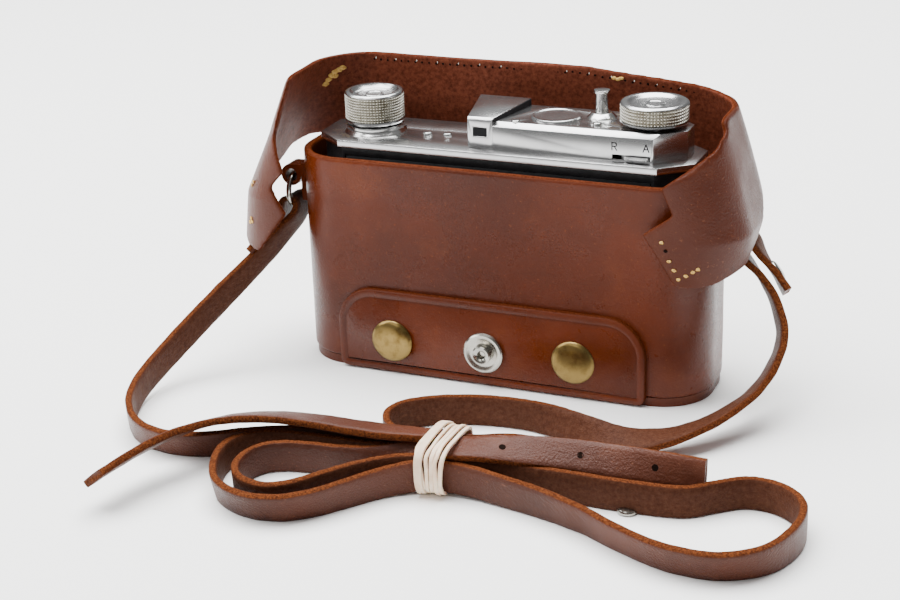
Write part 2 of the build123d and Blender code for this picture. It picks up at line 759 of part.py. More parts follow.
def ribbon(points, across):
    """Flat strap along points, with arcs of 0.45 of the shorter run at each turn."""
    vectors = [Vector(*point) for point in points]
    radii = []
    for before, here, after in zip(vectors, vectors[1:], vectors[2:]):
        run_in = here - before
        run_out = after - here
        turn = math.radians(run_in.get_angle(run_out))
        radii.append(0.45 * min(run_in.length, run_out.length) / math.tan(turn / 2))
    path = FilletPolyline(*points, radius=radii)
    start = Plane(origin=path @ 0, x_dir=across, z_dir=path % 0)
    return sweep(start * Rectangle(strap_width, strap_thick), path=path)


def strap():
    """Strap runs from both rings, the tied hank, its two loose ends and what is on them."""
    flat_up = (0, 0, 1)
    save("strap_left_run", ribbon(left_route, flat_up))
    save("strap_right_run", ribbon(right_route, flat_up))
    save("strap_plain_end", ribbon(plain_route, (0, 1, 0)))
    save("strap_punched_end", ribbon(punched_route, flat_up))

    left_lobe = [
        (hank_left, -95.0),
        (-13.0, -96.0),
        (-31.0, -96.4),
        (-43.0, -98.2),
        (-51.0, -102.5),
        (-55.5, -110.0),
        (-55.0, -120.0),
        (-50.5, -131.0),
        (-44.5, -137.5),
        (-36.0, -141.6),
        (-26.0, -142.0),
        (-17.5, -138.5),
        (-10.0, -130.0),
        (-3.5, -119.5),
        (hank_left, -109.5),
    ]
    right_lobe = [
        (hank_right, -104.5),
        (37.0, -107.2),
        (53.0, -111.8),
        (65.0, -116.8),
        (78.0, -124.8),
        (91.0, -130.2),
        (102.0, -131.6),
        (109.5, -130.2),
        (119.0, -124.2),
        (125.0, -112.5),
        (127.2, -101.5),
        (127.0, -93.0),
        (121.5, -86.3),
        (114.8, -81.7),
        (107.3, -81.2),
        (100.5, -85.3),
        (94.0, -91.0),
        (84.5, -93.9),
        (69.0, -95.0),
        (37.0, -95.2),
        (hank_right, -96.5),
    ]
    waist = waist_core(hank_left, hank_right)
    hank = waist + slab(left_lobe, 0.2, 10.8) + slab(right_lobe, 0.2, 10.8)
    hank -= rod_z(snap_x, snap_y, snap_r, -1, 1.4)
    save("strap_hank", hank)

    bands = []
    for turn in range(5):
        x = hank_left + 2.0 + 3.4 * turn
        outer = block(x - 1.1, x + 1.1, hank_near - 1.2, hank_far + 1.2, 0.2, hank_top + 1.2)
        outer = fillet(outer.edges().filter_by(Axis.X), 6.0)
        bands.append(outer - waist_core(x - 3, x + 3))
    save("rubber_bands", group(bands))

    rivets = [rod_z(snap_x, snap_y, snap_r, 0.1, 1.4)]
    for route in (left_route, right_route):
        low_end = Vector(*route[-2])
        high_end = Vector(*route[-1])
        rise = high_end - low_end
        out = Vector(-abs(rise.Y), -abs(rise.X), 0) if rise.X < 0 else Vector(abs(rise.Y), -abs(rise.X), 0)
        aim = Plane(origin=low_end + rise * strap_rivet_share, z_dir=out.normalized())
        head = aim * Pos(0, 0, strap_thick / 2 + 0.5) * Cylinder(4.2, 1.0)
        shank = aim * Cylinder(1.4, strap_thick + 1.0)
        foot = aim * Pos(0, 0, -strap_thick / 2 - 0.4) * Cylinder(2.6, 0.8)
        rivets.append(head + shank + foot)
    save("strap_rivets", group(rivets))


def waist_core(x0, x1):
    """The tied middle of the hank from x0 to x1."""
    core = block(x0, x1, hank_near, hank_far, hank_low, hank_top)
    return fillet(core.edges().filter_by(Axis.X), 5.0)


# ---- build --------------------------------------------------------------------------------------
case_pieces()
case_screw()
camera_shell()
back_and_gate()
plates()
top_housings()
wind_pieces()
rewind_pieces()
release_pieces()
selector()
lens_pieces()
cover_band()
lugs_and_rings()
strap()
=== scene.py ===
"""Looks of the rangefinder camera in its leather half-case. Metres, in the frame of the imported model."""

import math

import bmesh
import bpy
import numpy as np
from mathutils import Matrix, Vector, noise


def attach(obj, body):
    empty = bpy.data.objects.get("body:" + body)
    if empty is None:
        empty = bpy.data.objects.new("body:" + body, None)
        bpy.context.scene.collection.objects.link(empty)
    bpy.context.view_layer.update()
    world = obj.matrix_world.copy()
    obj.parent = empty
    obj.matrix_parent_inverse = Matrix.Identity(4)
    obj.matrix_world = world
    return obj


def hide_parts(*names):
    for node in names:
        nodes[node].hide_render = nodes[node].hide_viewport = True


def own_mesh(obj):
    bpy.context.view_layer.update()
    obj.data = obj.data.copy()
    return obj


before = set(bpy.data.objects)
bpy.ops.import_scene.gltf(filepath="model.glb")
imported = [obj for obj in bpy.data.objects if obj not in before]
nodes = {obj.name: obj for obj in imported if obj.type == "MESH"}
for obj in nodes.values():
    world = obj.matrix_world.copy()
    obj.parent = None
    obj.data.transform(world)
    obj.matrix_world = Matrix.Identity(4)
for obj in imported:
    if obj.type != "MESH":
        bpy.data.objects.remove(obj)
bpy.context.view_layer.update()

MM = 0.001


# ---- camera ----
def make_camera():
    """The view from behind the camera, to its right and above it."""
    heading = math.radians(23.47)
    look_down = math.radians(21.7)
    roll = math.radians(-2.05)
    data = bpy.data.cameras.new("view")
    data.lens = 70.72
    data.sensor_width = 36.0
    data.clip_start = 0.05
    data.clip_end = 20.0
    camera = bpy.data.objects.new("view", data)
    turn = Matrix.Rotation(heading, 3, "Z") @ Matrix.Rotation(math.pi / 2 - look_down, 3, "X")
    turn = turn @ Matrix.Rotation(roll, 3, "Z")
    camera.matrix_world = Matrix.Translation((0.2150, -0.5514, 0.2599)) @ turn.to_4x4()
    bpy.context.scene.collection.objects.link(camera)
    bpy.context.scene.camera = camera


make_camera()


# ---- node helpers ----
def linear(red, green, blue):
    """Linear colour of an sRGB colour given from 0 to 255."""
    out = []
    for value in (red, green, blue):
        share = value / 255
        out.append(share / 12.92 if share <= 0.04045 else ((share + 0.055) / 1.055) ** 2.4)
    return (*out, 1.0)


class Shader:
    """A material under construction: a Principled shader and short ways to add nodes to it."""

    def __init__(self, name):
        self.material = bpy.data.materials.new(name)
        self.material.use_nodes = True
        self.tree = self.material.node_tree
        self.tree.nodes.clear()
        output = self.tree.nodes.new("ShaderNodeOutputMaterial")
        self.main = self.tree.nodes.new("ShaderNodeBsdfPrincipled")
        self.join(self.main.outputs[0], output.inputs[0])
        self.place = self.tree.nodes.new("ShaderNodeTexCoord").outputs["Object"]

    def join(self, source, target):
        """Links a socket, or sets a constant."""
        if isinstance(source, bpy.types.NodeSocket):
            self.tree.links.new(source, target)
        else:
            target.default_value = source

    def set(self, **values):
        """Sets or links inputs of the Principled shader."""
        for name, value in values.items():
            self.join(value, self.main.inputs[name.replace("_", " ")])

    def stretched(self, scale):
        """Object coordinates stretched by three factors."""
        node = self.tree.nodes.new("ShaderNodeMapping")
        node.inputs["Scale"].default_value = scale
        self.join(self.place, node.inputs["Vector"])
        return node.outputs[0]

    def noise(self, scale, detail=4.0, rough=0.55, place=None):
        """Noise from 0 to 1; scale is in features per metre."""
        node = self.tree.nodes.new("ShaderNodeTexNoise")
        node.inputs["Scale"].default_value = scale
        node.inputs["Detail"].default_value = detail
        node.inputs["Roughness"].default_value = rough
        self.join(place or self.place, node.inputs["Vector"])
        return node.outputs["Fac"]

    def cells(self, scale, place=None):
        """Distance to the nearest cell centre of a Voronoi pattern."""
        node = self.tree.nodes.new("ShaderNodeTexVoronoi")
        node.inputs["Scale"].default_value = scale
        self.join(place or self.place, node.inputs["Vector"])
        return node.outputs["Distance"]

    def ramp(self, value, low, high, start=0.0, end=1.0):
        """A value mapped from low..high to start..end, clamped."""
        node = self.tree.nodes.new("ShaderNodeMapRange")
        self.join(value, node.inputs["Value"])
        for socket, number in zip(("From Min", "From Max", "To Min", "To Max"), (low, high, start, end)):
            node.inputs[socket].default_value = number
        return node.outputs["Result"]

    def mix(self, share, first, second, mode="MIX"):
        """Two colours mixed."""
        node = self.tree.nodes.new("ShaderNodeMix")
        node.data_type = "RGBA"
        node.blend_type = mode
        self.join(share, node.inputs[0])
        self.join(first, node.inputs[6])
        self.join(second, node.inputs[7])
        return node.outputs[2]

    def sum(self, first, second, weight=1.0):
        """first + second x weight."""
        node = self.tree.nodes.new("ShaderNodeMath")
        node.operation = "MULTIPLY_ADD"
        self.join(second, node.inputs[0])
        node.inputs[1].default_value = weight
        self.join(first, node.inputs[2])
        return node.outputs[0]

    def attribute(self, name):
        """A number stored on the mesh."""
        node = self.tree.nodes.new("ShaderNodeAttribute")
        node.attribute_name = name
        return node.outputs["Fac"]

    def bump(self, height, distance, strength=1.0):
        """Bump from a height field."""
        node = self.tree.nodes.new("ShaderNodeBump")
        node.inputs["Strength"].default_value = strength
        node.inputs["Distance"].default_value = distance
        self.join(height, node.inputs["Height"])
        self.join(node.outputs[0], self.main.inputs["Normal"])


# ---- materials ----
def leather(name, dark, mid, light, raw, inside, rough, grain, grain_depth):
    """Dyed leather: blotches, scuffs and grain, with raw cut edges and a plainer inner face."""
    shader = Shader(name)
    blotch = shader.ramp(shader.noise(16, 6, 0.55), 0.25, 0.75)
    colour = shader.mix(blotch, dark, mid)
    worn = shader.ramp(shader.noise(38, 9, 0.66), 0.56, 0.9, 0.0, 0.55)
    colour = shader.mix(worn, colour, light)
    stain = shader.ramp(shader.noise(85, 7, 0.7, shader.stretched((1.0, 1.0, 0.6))), 0.62, 0.8, 0.0, 0.6)
    colour = shader.mix(stain, colour, dark)
    streak = shader.noise(160, 6, 0.7, shader.stretched((0.25, 1.0, 2.4)))
    colour = shader.mix(shader.ramp(streak, 0.58, 0.82, 0.0, 0.5), colour, dark)
    speck = shader.noise(900, 3, 0.6)
    colour = shader.mix(shader.ramp(speck, 0.63, 0.74, 0.0, 0.55), colour, light)
    inner = shader.mix(shader.ramp(shader.noise(700, 5, 0.7), 0.3, 0.75), inside, dark)
    colour = shader.mix(shader.attribute("inside"), colour, inner)
    fibre = shader.ramp(shader.noise(1500, 6, 0.75), 0.40, 0.64)
    cut = shader.mix(fibre, dark, raw)
    edge = shader.attribute("raw")
    colour = shader.mix(edge, colour, cut)
    shader.set(Base_Color=colour)
    gloss = shader.ramp(shader.noise(70, 5, 0.6), 0.3, 0.75, rough - 0.08, rough + 0.14)
    gloss = shader.sum(gloss, edge, 0.4)
    shader.set(Roughness=shader.sum(gloss, shader.attribute("inside"), 0.12))
    shine = shader.ramp(edge, 0, 1, 0.22, 0.03)
    shader.set(Specular_IOR_Level=shader.sum(shine, shader.attribute("inside"), -0.16))
    height = shader.sum(shader.noise(0.8 * grain, 6, 0.6), shader.cells(grain), 0.55)
    height = shader.sum(height, fibre, 0.25)
    shader.bump(height, grain_depth, 0.8)
    return shader.material


def metal(name, colour, rough, streaks=(1.0, 1.0, 1.0), dirt=None, dirt_share=0.0, spread=0.06):
    """Plated or bare metal with fine brushing, smudges and some tarnish."""
    shader = Shader(name)
    shader.set(Metallic=1.0)
    smudge = shader.noise(70, 5, 0.6)
    brush = shader.noise(900, 3, 0.6, shader.stretched(streaks))
    shaded = tuple(0.86 * value for value in colour[:3]) + (1.0,)
    base = shader.mix(shader.ramp(smudge, 0.35, 0.7), colour, shaded)
    if dirt:
        patch = shader.ramp(shader.noise(260, 6, 0.65), 0.62 - dirt_share, 0.86 - dirt_share)
        base = shader.mix(patch, base, dirt)
    shader.set(Base_Color=base)
    shader.set(Roughness=shader.ramp(smudge, 0.3, 0.72, rough, rough + spread))
    shader.bump(brush, 0.00001, 0.35)
    return shader.material


def enamel(name, colour, rough, grain=None):
    """Black enamel, or grained leatherette."""
    shader = Shader(name)
    tint = shader.ramp(shader.noise(300, 4), 0.3, 0.7)
    shader.set(Base_Color=shader.mix(tint, colour, tuple(1.9 * value for value in colour[:3]) + (1.0,)))
    shader.set(Roughness=shader.ramp(shader.noise(180, 4), 0.3, 0.7, rough, rough + 0.12))
    shader.set(Specular_IOR_Level=0.2)
    if grain:
        shader.bump(shader.cells(grain), 0.00012, 0.8)
    else:
        shader.bump(shader.noise(1200, 2), 0.00001, 0.4)
    return shader.material


def lens_glass(name, tint, rough):
    """Dark coated glass over a black inside."""
    shader = Shader(name)
    cloud = shader.ramp(shader.noise(90, 2), 0.3, 0.7)
    shader.set(Base_Color=shader.mix(cloud, tint, (0.01, 0.012, 0.02, 1)))
    shader.set(Roughness=rough, Specular_IOR_Level=0.8, Coat_Weight=1.0, Coat_Roughness=0.02)
    shader.set(Coat_Tint=(0.75, 0.7, 1.0, 1.0))
    return shader.material


def gum_rubber():
    """Pale natural rubber."""
    shader = Shader("gum_rubber")
    blotch = shader.ramp(shader.noise(260, 4, 0.6), 0.35, 0.7)
    shader.set(Base_Color=shader.mix(blotch, linear(236, 214, 188), linear(214, 184, 156)))
    shader.set(Roughness=shader.ramp(shader.noise(500, 3), 0.3, 0.7, 0.42, 0.6))
    shader.set(Subsurface_Weight=0.25, Subsurface_Radius=(0.004, 0.002, 0.001), Subsurface_Scale=0.3)
    shader.bump(shader.noise(2600, 4), 0.00008, 0.6)
    return shader.material


def matte(name, first, second, rough, scale=800):
    """Rough dull material with two tones, for thread, old glue, print, painted shade in holes and grooves,
    and windows painted near black for the shade inside the finder.
    """
    shader = Shader(name)
    shader.set(Base_Color=shader.mix(shader.ramp(shader.noise(scale, 5, 0.65), 0.35, 0.68), first, second))
    shader.set(Roughness=rough, Specular_IOR_Level=0.08)
    shader.bump(shader.noise(scale * 2, 3), 0.00015, 0.6)
    return shader.material


case_leather = leather(
    "case_leather", linear(58, 19, 3), linear(95, 36, 5), linear(124, 62, 22),
    linear(94, 46, 24), linear(62, 28, 12), 0.29, 1500, 0.00010,
)
band_leather = leather(
    "band_leather", linear(58, 20, 7), linear(88, 39, 16), linear(124, 70, 42),
    linear(86, 44, 26), linear(112, 58, 40), 0.34, 1500, 0.00014,
)
strap_leather = leather(
    "strap_leather", linear(54, 24, 12), linear(86, 42, 24), linear(120, 74, 52),
    linear(110, 60, 30), linear(82, 50, 35), 0.36, 1400, 0.00026,
)
satin_chrome = metal("satin_chrome", linear(188, 188, 188), 0.21, (0.06, 1.0, 1.0))
bright_chrome = metal("bright_chrome", linear(202, 202, 200), 0.17)
knurl_chrome = metal(
    "knurl_chrome", linear(190, 187, 178), 0.22, dirt=linear(134, 127, 110), dirt_share=0.14
)
nickel = metal("nickel", linear(178, 176, 168), 0.20, dirt=linear(140, 130, 112), dirt_share=0.06)
aged_brass = metal(
    "aged_brass", linear(134, 112, 66), 0.28, dirt=linear(96, 76, 40), dirt_share=0.14, spread=0.10
)
turned_brass = metal("turned_brass", linear(196, 164, 98), 0.24)
ground_steel = metal("ground_steel", linear(168, 168, 170), 0.26, (1.0, 1.0, 0.08))
black_enamel = enamel("black_enamel", (0.010, 0.010, 0.011, 1), 0.26)
leatherette = enamel("leatherette", (0.012, 0.012, 0.013, 1), 0.42, 1700)
coated_glass = lens_glass("coated_glass", (0.012, 0.010, 0.03, 1), 0.04)
# The finder's windows are painted near black: painted shade for the dim inside of the finder, seen through
# clear glass.
window_glass_painted_shade = matte("window_glass_painted_shade", (0.006, 0.006, 0.007, 1), (0.003, 0.003, 0.004, 1), 0.12, 60)
rubber = gum_rubber()
thread = matte("old_thread", linear(226, 190, 112), linear(176, 128, 62), 0.85, 1600)
# Painted shade: dark dots and discs that stand for the shadowed insides of punched holes and needle holes.
painted_hole_shade = matte("painted_hole_shade", linear(22, 9, 4), linear(12, 5, 2), 0.95)
# Dark matte for printed marks, and also for painted shade in the groove by the viewfinder hood and in the
# spanner holes.
ink_and_painted_shade = matte("ink_and_painted_shade", linear(34, 32, 34), linear(22, 20, 22), 0.5)
white_ink = matte("white_ink", linear(228, 226, 216), linear(206, 204, 194), 0.5)


# ---- mesh helpers ----
def add_object(name, mesh, materials):
    """A mesh made into an object of the scene, with its materials."""
    for material in materials:
        mesh.materials.append(material)
    piece = bpy.data.objects.new(name, mesh)
    bpy.context.scene.collection.objects.link(piece)
    return piece


def mesh_from(name, points, faces, materials, tags=None, smooth=True):
    """A mesh object from points and faces, with an optional material number per face."""
    mesh = bpy.data.meshes.new(name)
    mesh.from_pydata([tuple(p) for p in points], [], faces)
    if tags:
        mesh.polygons.foreach_set("material_index", tags)
    mesh.polygons.foreach_set("use_smooth", [smooth] * len(mesh.polygons))
    mesh.validate()
    mesh.update()
    return add_object(name, mesh, materials)


def baked(piece):
    """Applies a piece's modifiers."""
    depsgraph = bpy.context.evaluated_depsgraph_get()
    mesh = bpy.data.meshes.new_from_object(piece.evaluated_get(depsgraph))
    piece.modifiers.clear()
    piece.data = mesh
    return piece


def finish_piece(piece, body, slot, *replaced):
    """Puts a piece on its body, in place of its CAD nodes; the slot argument is not used."""
    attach(piece, body)
    if replaced:
        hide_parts(*replaced)
    return piece


def store(piece, name, values):
    """Stores one number per point."""
    attribute = piece.data.attributes.get(name) or piece.data.attributes.new(name, "FLOAT", "POINT")
    attribute.data.foreach_set("value", np.asarray(values, np.float32))


def point_values(mesh, what):
    """Places or normals of a mesh's points, a row for each."""
    values = np.empty(len(mesh.vertices) * 3, np.float32)
    mesh.vertices.foreach_get(what, values)
    return values.reshape(-1, 3)


def copied(node, name):
    """A copy of a CAD node's mesh, as a new object without materials."""
    mesh = nodes[node].data.copy()
    mesh.materials.clear()
    for layer in ("custom_normal", "sharp_face", "sharp_edge"):
        if layer in mesh.attributes:
            mesh.attributes.remove(mesh.attributes[layer])
    work = bmesh.new()
    work.from_mesh(mesh)
    bmesh.ops.remove_doubles(work, verts=work.verts, dist=1e-6)
    work.to_mesh(mesh)
    work.free()
    return add_object(name, mesh, [])


def machined(node, material, body, slot, width):
    """A metal part with its CAD shape and its sharp edges broken, so that they catch the light."""
    piece = copied(node, node + "_finished")
    piece.data.materials.append(material)
    clean = piece.modifiers.new("clean", "DECIMATE")
    clean.decimate_type = "DISSOLVE"
    clean.angle_limit = math.radians(0.4)
    bevel = piece.modifiers.new("bevel", "BEVEL")
    bevel.width = width * MM
    bevel.segments = 2
    bevel.limit_method = "ANGLE"
    bevel.angle_limit = math.radians(38)
    bevel.use_clamp_overlap = True
    baked(piece)
    piece.data.shade_smooth()
    piece.data.set_sharp_from_angle(angle=math.radians(32))
    return finish_piece(piece, body, slot, node)


def lathe(name, profile, centre, axis, material, segments=96):
    """A turned part: (radius, height) points in millimetres about an axis through centre."""
    points = []
    faces = []
    axis = Vector(axis).normalized()
    side = axis.orthogonal().normalized()
    other = axis.cross(side)
    for step in range(segments):
        angle = 2 * math.pi * step / segments
        out = side * math.cos(angle) + other * math.sin(angle)
        for radius, height in profile:
            points.append(Vector(centre) + out * radius * MM + axis * height * MM)
    count = len(profile)
    for step in range(segments):
        here = step * count
        after = ((step + 1) % segments) * count
        for k in range(count - 1):
            faces.append((here + k, after + k, after + k + 1, here + k + 1))
    piece = mesh_from(name, points, faces, [material])
    weld(piece)
    piece.data.set_sharp_from_angle(angle=math.radians(34))
    return piece


def block_faces(base):
    """Faces of a block whose eight points, from number base, are a lower and an upper ring of four."""
    faces = [(base, base + 3, base + 2, base + 1), (base + 4, base + 5, base + 6, base + 7)]
    for k in range(4):
        after = (k + 1) % 4
        faces.append((base + k, base + after, base + 4 + after, base + 4 + k))
    return faces


def tube_faces(rings, count, closed=False):
    """Faces between neighbouring rings of count points; closed joins the last ring to the first."""
    faces = []
    for ring in range(rings if closed else rings - 1):
        here = ring * count
        ahead = (ring + 1) % rings * count
        for k in range(count):
            after = (k + 1) % count
            faces.append((here + k, here + after, ahead + after, ahead + k))
    return faces


def weld(piece, distance=2e-6):
    """Joins points that lie together, and turns the faces outward."""
    work = bmesh.new()
    work.from_mesh(piece.data)
    bmesh.ops.remove_doubles(work, verts=work.verts, dist=distance)
    bmesh.ops.recalc_face_normals(work, faces=work.faces)
    work.to_mesh(piece.data)
    work.free()


def join(name, pieces):
    """Several objects joined into the first, which keeps all their materials."""
    with bpy.context.temp_override(active_object=pieces[0], selected_editable_objects=pieces):
        bpy.ops.object.join()
    pieces[0].name = name
    return pieces[0]


def wobble(place, scale, seed=0.0):
    """Smooth noise from -1 to 1 at a place."""
    return noise.noise(Vector(place) * scale + Vector((seed, seed * 1.7, -seed)))


# ---- strap ----
STRAP_WIDTH = 0.0105
STRAP_THICK = 0.0026

# The strap's route: x, y and z of its centre line in millimetres, and then the direction in which its
# upper edge faces there. Where no direction is given, the edge faces up.
LONG_STRAP = [
    (-93.5, -20.5, 37.5, 0, -0.7, 0.6), (-89.5, -15, 43.5, 0, -0.7, 0.6), (-86.2, -8.5, 50, 0, -0.8, 0.4),
    (-85.6, -5.2, 56.2, 0, -1, 0.05), (-80.6, -4.8, 57.2, 0, -1, 0), (-80, -5.5, 51.2, 0, -0.95, 0.3),
    (-85.2, -10.5, 44.8, 0, -0.75, 0.6), (-90.5, -17.2, 37.6, 0, -0.6, 0.75),
    (-99.5, -29, 27, 0, -0.35, 0.95), (-106.5, -44, 17.5, 0, -0.1, 1), (-111, -61, 9.8),
    (-110.5, -79, 6.2), (-103.5, -95.5, 5.4, 0, -0.1, 1), (-92, -106.5, 5.2, 0, -0.3, 0.95),
    (-78, -109.5, 5, 0, -0.42, 0.9), (-66, -106, 5, 0, -0.4, 0.92), (-53, -98.5, 5.2, 0, -0.2, 0.98),
    (-37, -93.2, 5.4), (-16, -92.5, 5.6), (5, -92.1, 6.4), (23, -90.5, 6.4), (35, -89, 5.6),
    (43.5, -88.9, 5.4), (45.2, -91.8, 5.4), (42, -94, 5.4), (33, -93.9, 5.6), (23, -94.5, 6.4),
    (5, -96.1, 6.4), (-11, -97.5, 5.6), (-28, -97.6, 5.4), (-41, -98.4, 5.4), (-51.5, -101.5, 5.4),
    (-57, -110.3, 5.4, 0, -0.03, 1), (-55, -120.7, 5.2, 0, -0.166, 1), (-50, -130.3, 5.1, 0, -0.285, 1),
    (-43.2, -136, 5, 0, -0.38, 1), (-34, -139, 5, 0, -0.38, 1), (-24.5, -138, 5, 0, -0.38, 1),
    (-16, -132, 5, 0, -0.38, 1), (-8.8, -122.4, 5.1, 0, -0.261, 1), (-1.2, -112.5, 5.3, 0, -0.082, 1),
    (7, -106, 6.2), (15, -104, 6.4), (24, -103.4, 6.2), (37, -105.5, 5.5, 0, -0.043, 1),
    (52.5, -109.2, 5.3, 0, -0.15, 1), (65, -113.7, 5.2, 0, -0.278, 1), (78, -120.8, 5.1, 0, -0.38, 1),
    (90.5, -126.4, 5.1, 0, -0.38, 1), (103, -128.4, 5.1, 0, -0.38, 1), (112.5, -126.4, 5.1, 0, -0.38, 1),
    (121.5, -120, 5.2, 0, -0.266, 1), (126.2, -109.3, 5.4, 0, -0.1, 1), (127.5, -98, 5.4),
    (124.8, -88.5, 5.4), (117, -82.2, 5.4), (107, -81.2, 5.4), (99.5, -86.6, 5.4), (92, -93.9, 5.4),
    (84, -95.4, 5.4), (69, -96.2, 5.4), (53.5, -95.9, 5.4), (37.5, -96.5, 5.6), (24, -99.3, 6.2),
    (14, -100.8, 6.4), (4, -101.8, 6), (-3, -105.2, 5.6), (-10, -111.2, 5.4),
    (-17.5, -120.3, 5.4, 0, -0.169, 1), (-24.5, -129.3, 5.4, 0, -0.32, 1),
    (-32, -132.8, 5.4, 0, -0.32, 1), (-40.5, -130.3, 5.4, 0, -0.32, 1), (-46.2, -124.5, 5.4),
    (-47.2, -114.5, 5.4), (-42.5, -107.2, 5.4), (-33, -104.2, 5.4), (-20, -103, 5.4),
    (-7, -101, 6, 0, 0.15, 1), (4, -99, 8.5, 0, 0.6, 0.8), (13, -98.2, 12.2, 0, 0.95, 0.3),
    (23, -97.6, 14.2, 0, 0.99, 0.15), (36, -94, 13.8, 0, 0.88, 0.45), (50, -90.2, 13.1, 0, 0.78, 0.62),
    (65, -88.2, 12.2, 0, 0.66, 0.75), (80, -87.6, 12.1, 0, 0.4, 0.92), (95.5, -88, 12.2, 0, 0.12, 0.99),
]
SHORT_STRAP = [
    (99, 1, 38.5, -0.37, 0.85, -0.37), (94.5, 3, 44, -0.3, 0.9, -0.35),
    (89.5, 4.5, 49, -0.15, 0.95, -0.2), (86.2, 5, 55, 0, 1, 0), (81.2, 5, 57.2, 0, 1, 0),
    (79.5, 4.8, 51.5, 0, 1, 0), (85, 3, 47, -0.15, 0.95, -0.2), (90.5, 1, 42.4, -0.3, 0.9, -0.35),
    (96.5, -2, 35, -0.37, 0.85, -0.37), (101, -9.5, 24.8, -0.37, 0.85, -0.37),
    (97.5, -22, 14, -0.37, 0.85, -0.37), (88.5, -38.5, 8.5, -0.37, 0.85, -0.3),
    (76, -54, 6, -0.3, 0.9, -0.1), (61, -62, 5.2, -0.1, 0.9, 0.42), (46, -57.5, 5.4, 0, 0.5, 0.86),
    (30, -52, 5.4, 0, 0.1, 1), (12, -52.5, 5.4), (-6, -58, 5.4), (-17, -67.5, 5.4), (-15.5, -79.5, 5.6),
    (-6, -87.5, 6), (5, -87.8, 6.4), (23, -86.6, 6.2), (35, -86, 5.5), (44, -84.5, 5.4), (47, -80.5, 5.4),
    (43, -77.5, 5.6), (34, -78.5, 6.4, 0, -0.15, 1), (25, -82.5, 9, 0, -0.6, 0.8),
    (15, -88.5, 12.8, 0, -0.92, 0.35), (4, -94.5, 14.3, 0, -0.98, 0.18),
    (-12, -96.2, 14.2, 0, -0.98, 0.17), (-30, -95.2, 14, 0, -0.97, 0.2),
    (-47, -97, 14.2, 0.2, -0.92, 0.26), (-60, -104, 14.4, 0.52, -0.72, 0.34),
    (-70, -116, 14.2, 0.66, -0.45, 0.52), (-77.5, -133, 13, 0.72, -0.26, 0.62),
    (-80.5, -150.5, 12, 0.74, -0.23, 0.63),
]

# Turns of rubber band, in millimetres: x on top, x below, width, and how far each lies over the others.
BAND_TURNS = [
    (8.8, 12.2, 2.4, 0.0), (10.2, 10.6, 2.7, 0.7), (12.8, 12.8, 1.2, 0.2),
    (14.4, 14.1, 1.5, 0.0), (16.1, 15.6, 1.4, 0.4), (18.2, 16.8, 1.4, 0.1),
]

# Sections of the turned pieces on the strap, as (radius, height) in millimetres.
RIVET_HEAD = [(0, 1.1), (1.6, 1.05), (2.9, 0.85), (3.7, 0.45), (3.95, 0.0), (3.6, -0.35), (0, -0.35)]
SNAP_BUTTON = [(0, 1.5), (2.0, 1.45), (2.9, 1.2), (3.3, 0.6), (3.3, 0.1), (3.0, 0.0), (0, 0.0)]
# The punched hole is a thin dark disc on the strap's face: painted shade for the hole.
PUNCHED_HOLE = [(0, 0.06), (0.75, 0.05), (0.95, 0.09), (1.15, 0.0)]


def spline_points(route):
    """Points along the smooth line that a route of control points gives."""
    curve = bpy.data.curves.new("route", "CURVE")
    curve.dimensions = "3D"
    spline = curve.splines.new("NURBS")
    spline.points.add(len(route) - 1)
    for point, place in zip(spline.points, route):
        point.co = (*place, 1.0)
    spline.order_u = 3
    spline.use_endpoint_u = True
    spline.resolution_u = 10
    holder = bpy.data.objects.new("route", curve)
    mesh = bpy.data.meshes.new_from_object(holder)
    points = [vertex.co.copy() for vertex in mesh.vertices]
    bpy.data.objects.remove(holder)
    bpy.data.meshes.remove(mesh)
    return points


def strap_profile():
    """(across, through, part) points round the strap's section; part is 0 grain, 1 cut edge, 2 flesh."""
    half = STRAP_WIDTH / 2
    deep = STRAP_THICK / 2
    shares = (-0.93, -0.6, -0.2, 0.2, 0.6, 0.93)
    grain = [(half * share, deep * (1 - 0.10 * share**2), 0) for share in shares]
    cut_up = [(half * 0.985, deep * 0.66, 1), (half, deep * 0.1, 1), (half * 0.99, -deep * 0.62, 1)]
    flesh = [(half * share, -deep * (1 - 0.06 * share**2), 2) for share in (0.93, 0.5, 0.0, -0.5, -0.93)]
    cut_down = [(-half * 0.99, -deep * 0.62, 1), (-half, deep * 0.1, 1), (-half * 0.985, deep * 0.66, 1)]
    return grain + cut_up + flesh + cut_down


def strap_piece(name, strap, seed):
    """The strap as a flat band along its route, the line it follows, and its edge's directions there."""
    line = spline_points([[value * MM for value in row[:3]] for row in strap])
    edges = spline_points([row[3:] or (0, 0, 1) for row in strap])
    profile = strap_profile()
    count = len(profile)
    last = len(line) - 1
    points = []
    for step, (place, edge) in enumerate(zip(line, edges)):
        ahead = (line[min(step + 1, last)] - line[max(step - 1, 0)]).normalized()
        up = (edge - ahead * edge.dot(ahead)).normalized()
        out = ahead.cross(up)
        wide = 1.0 + 0.025 * wobble(place, 60, seed)
        thick = 1.0 + 0.08 * wobble(place, 90, seed + 5)
        ripple = 0.00016 * wobble(place, 240, seed + 9)
        for across, through, part in profile:
            spot = place + up * across * wide + out * (through * thick + ripple)
            if part == 1:
                spot += up * 0.00014 * wobble(spot, 1500, seed) * (1 if across > 0 else -1)
                spot += out * 0.00010 * wobble(spot, 1100, seed + 2)
            points.append(spot)
    faces = tube_faces(len(line), count)
    faces.append(tuple(reversed(range(count))))
    faces.append(tuple(range(last * count, last * count + count)))
    piece = mesh_from(name, points, faces, [strap_leather])
    parts = [part for _, _, part in profile] * len(line)
    store(piece, "raw", [part == 1 for part in parts])
    store(piece, "inside", [part == 2 for part in parts])
    weld(piece)
    piece.data.set_sharp_from_angle(angle=math.radians(60))
    return piece, line, edges


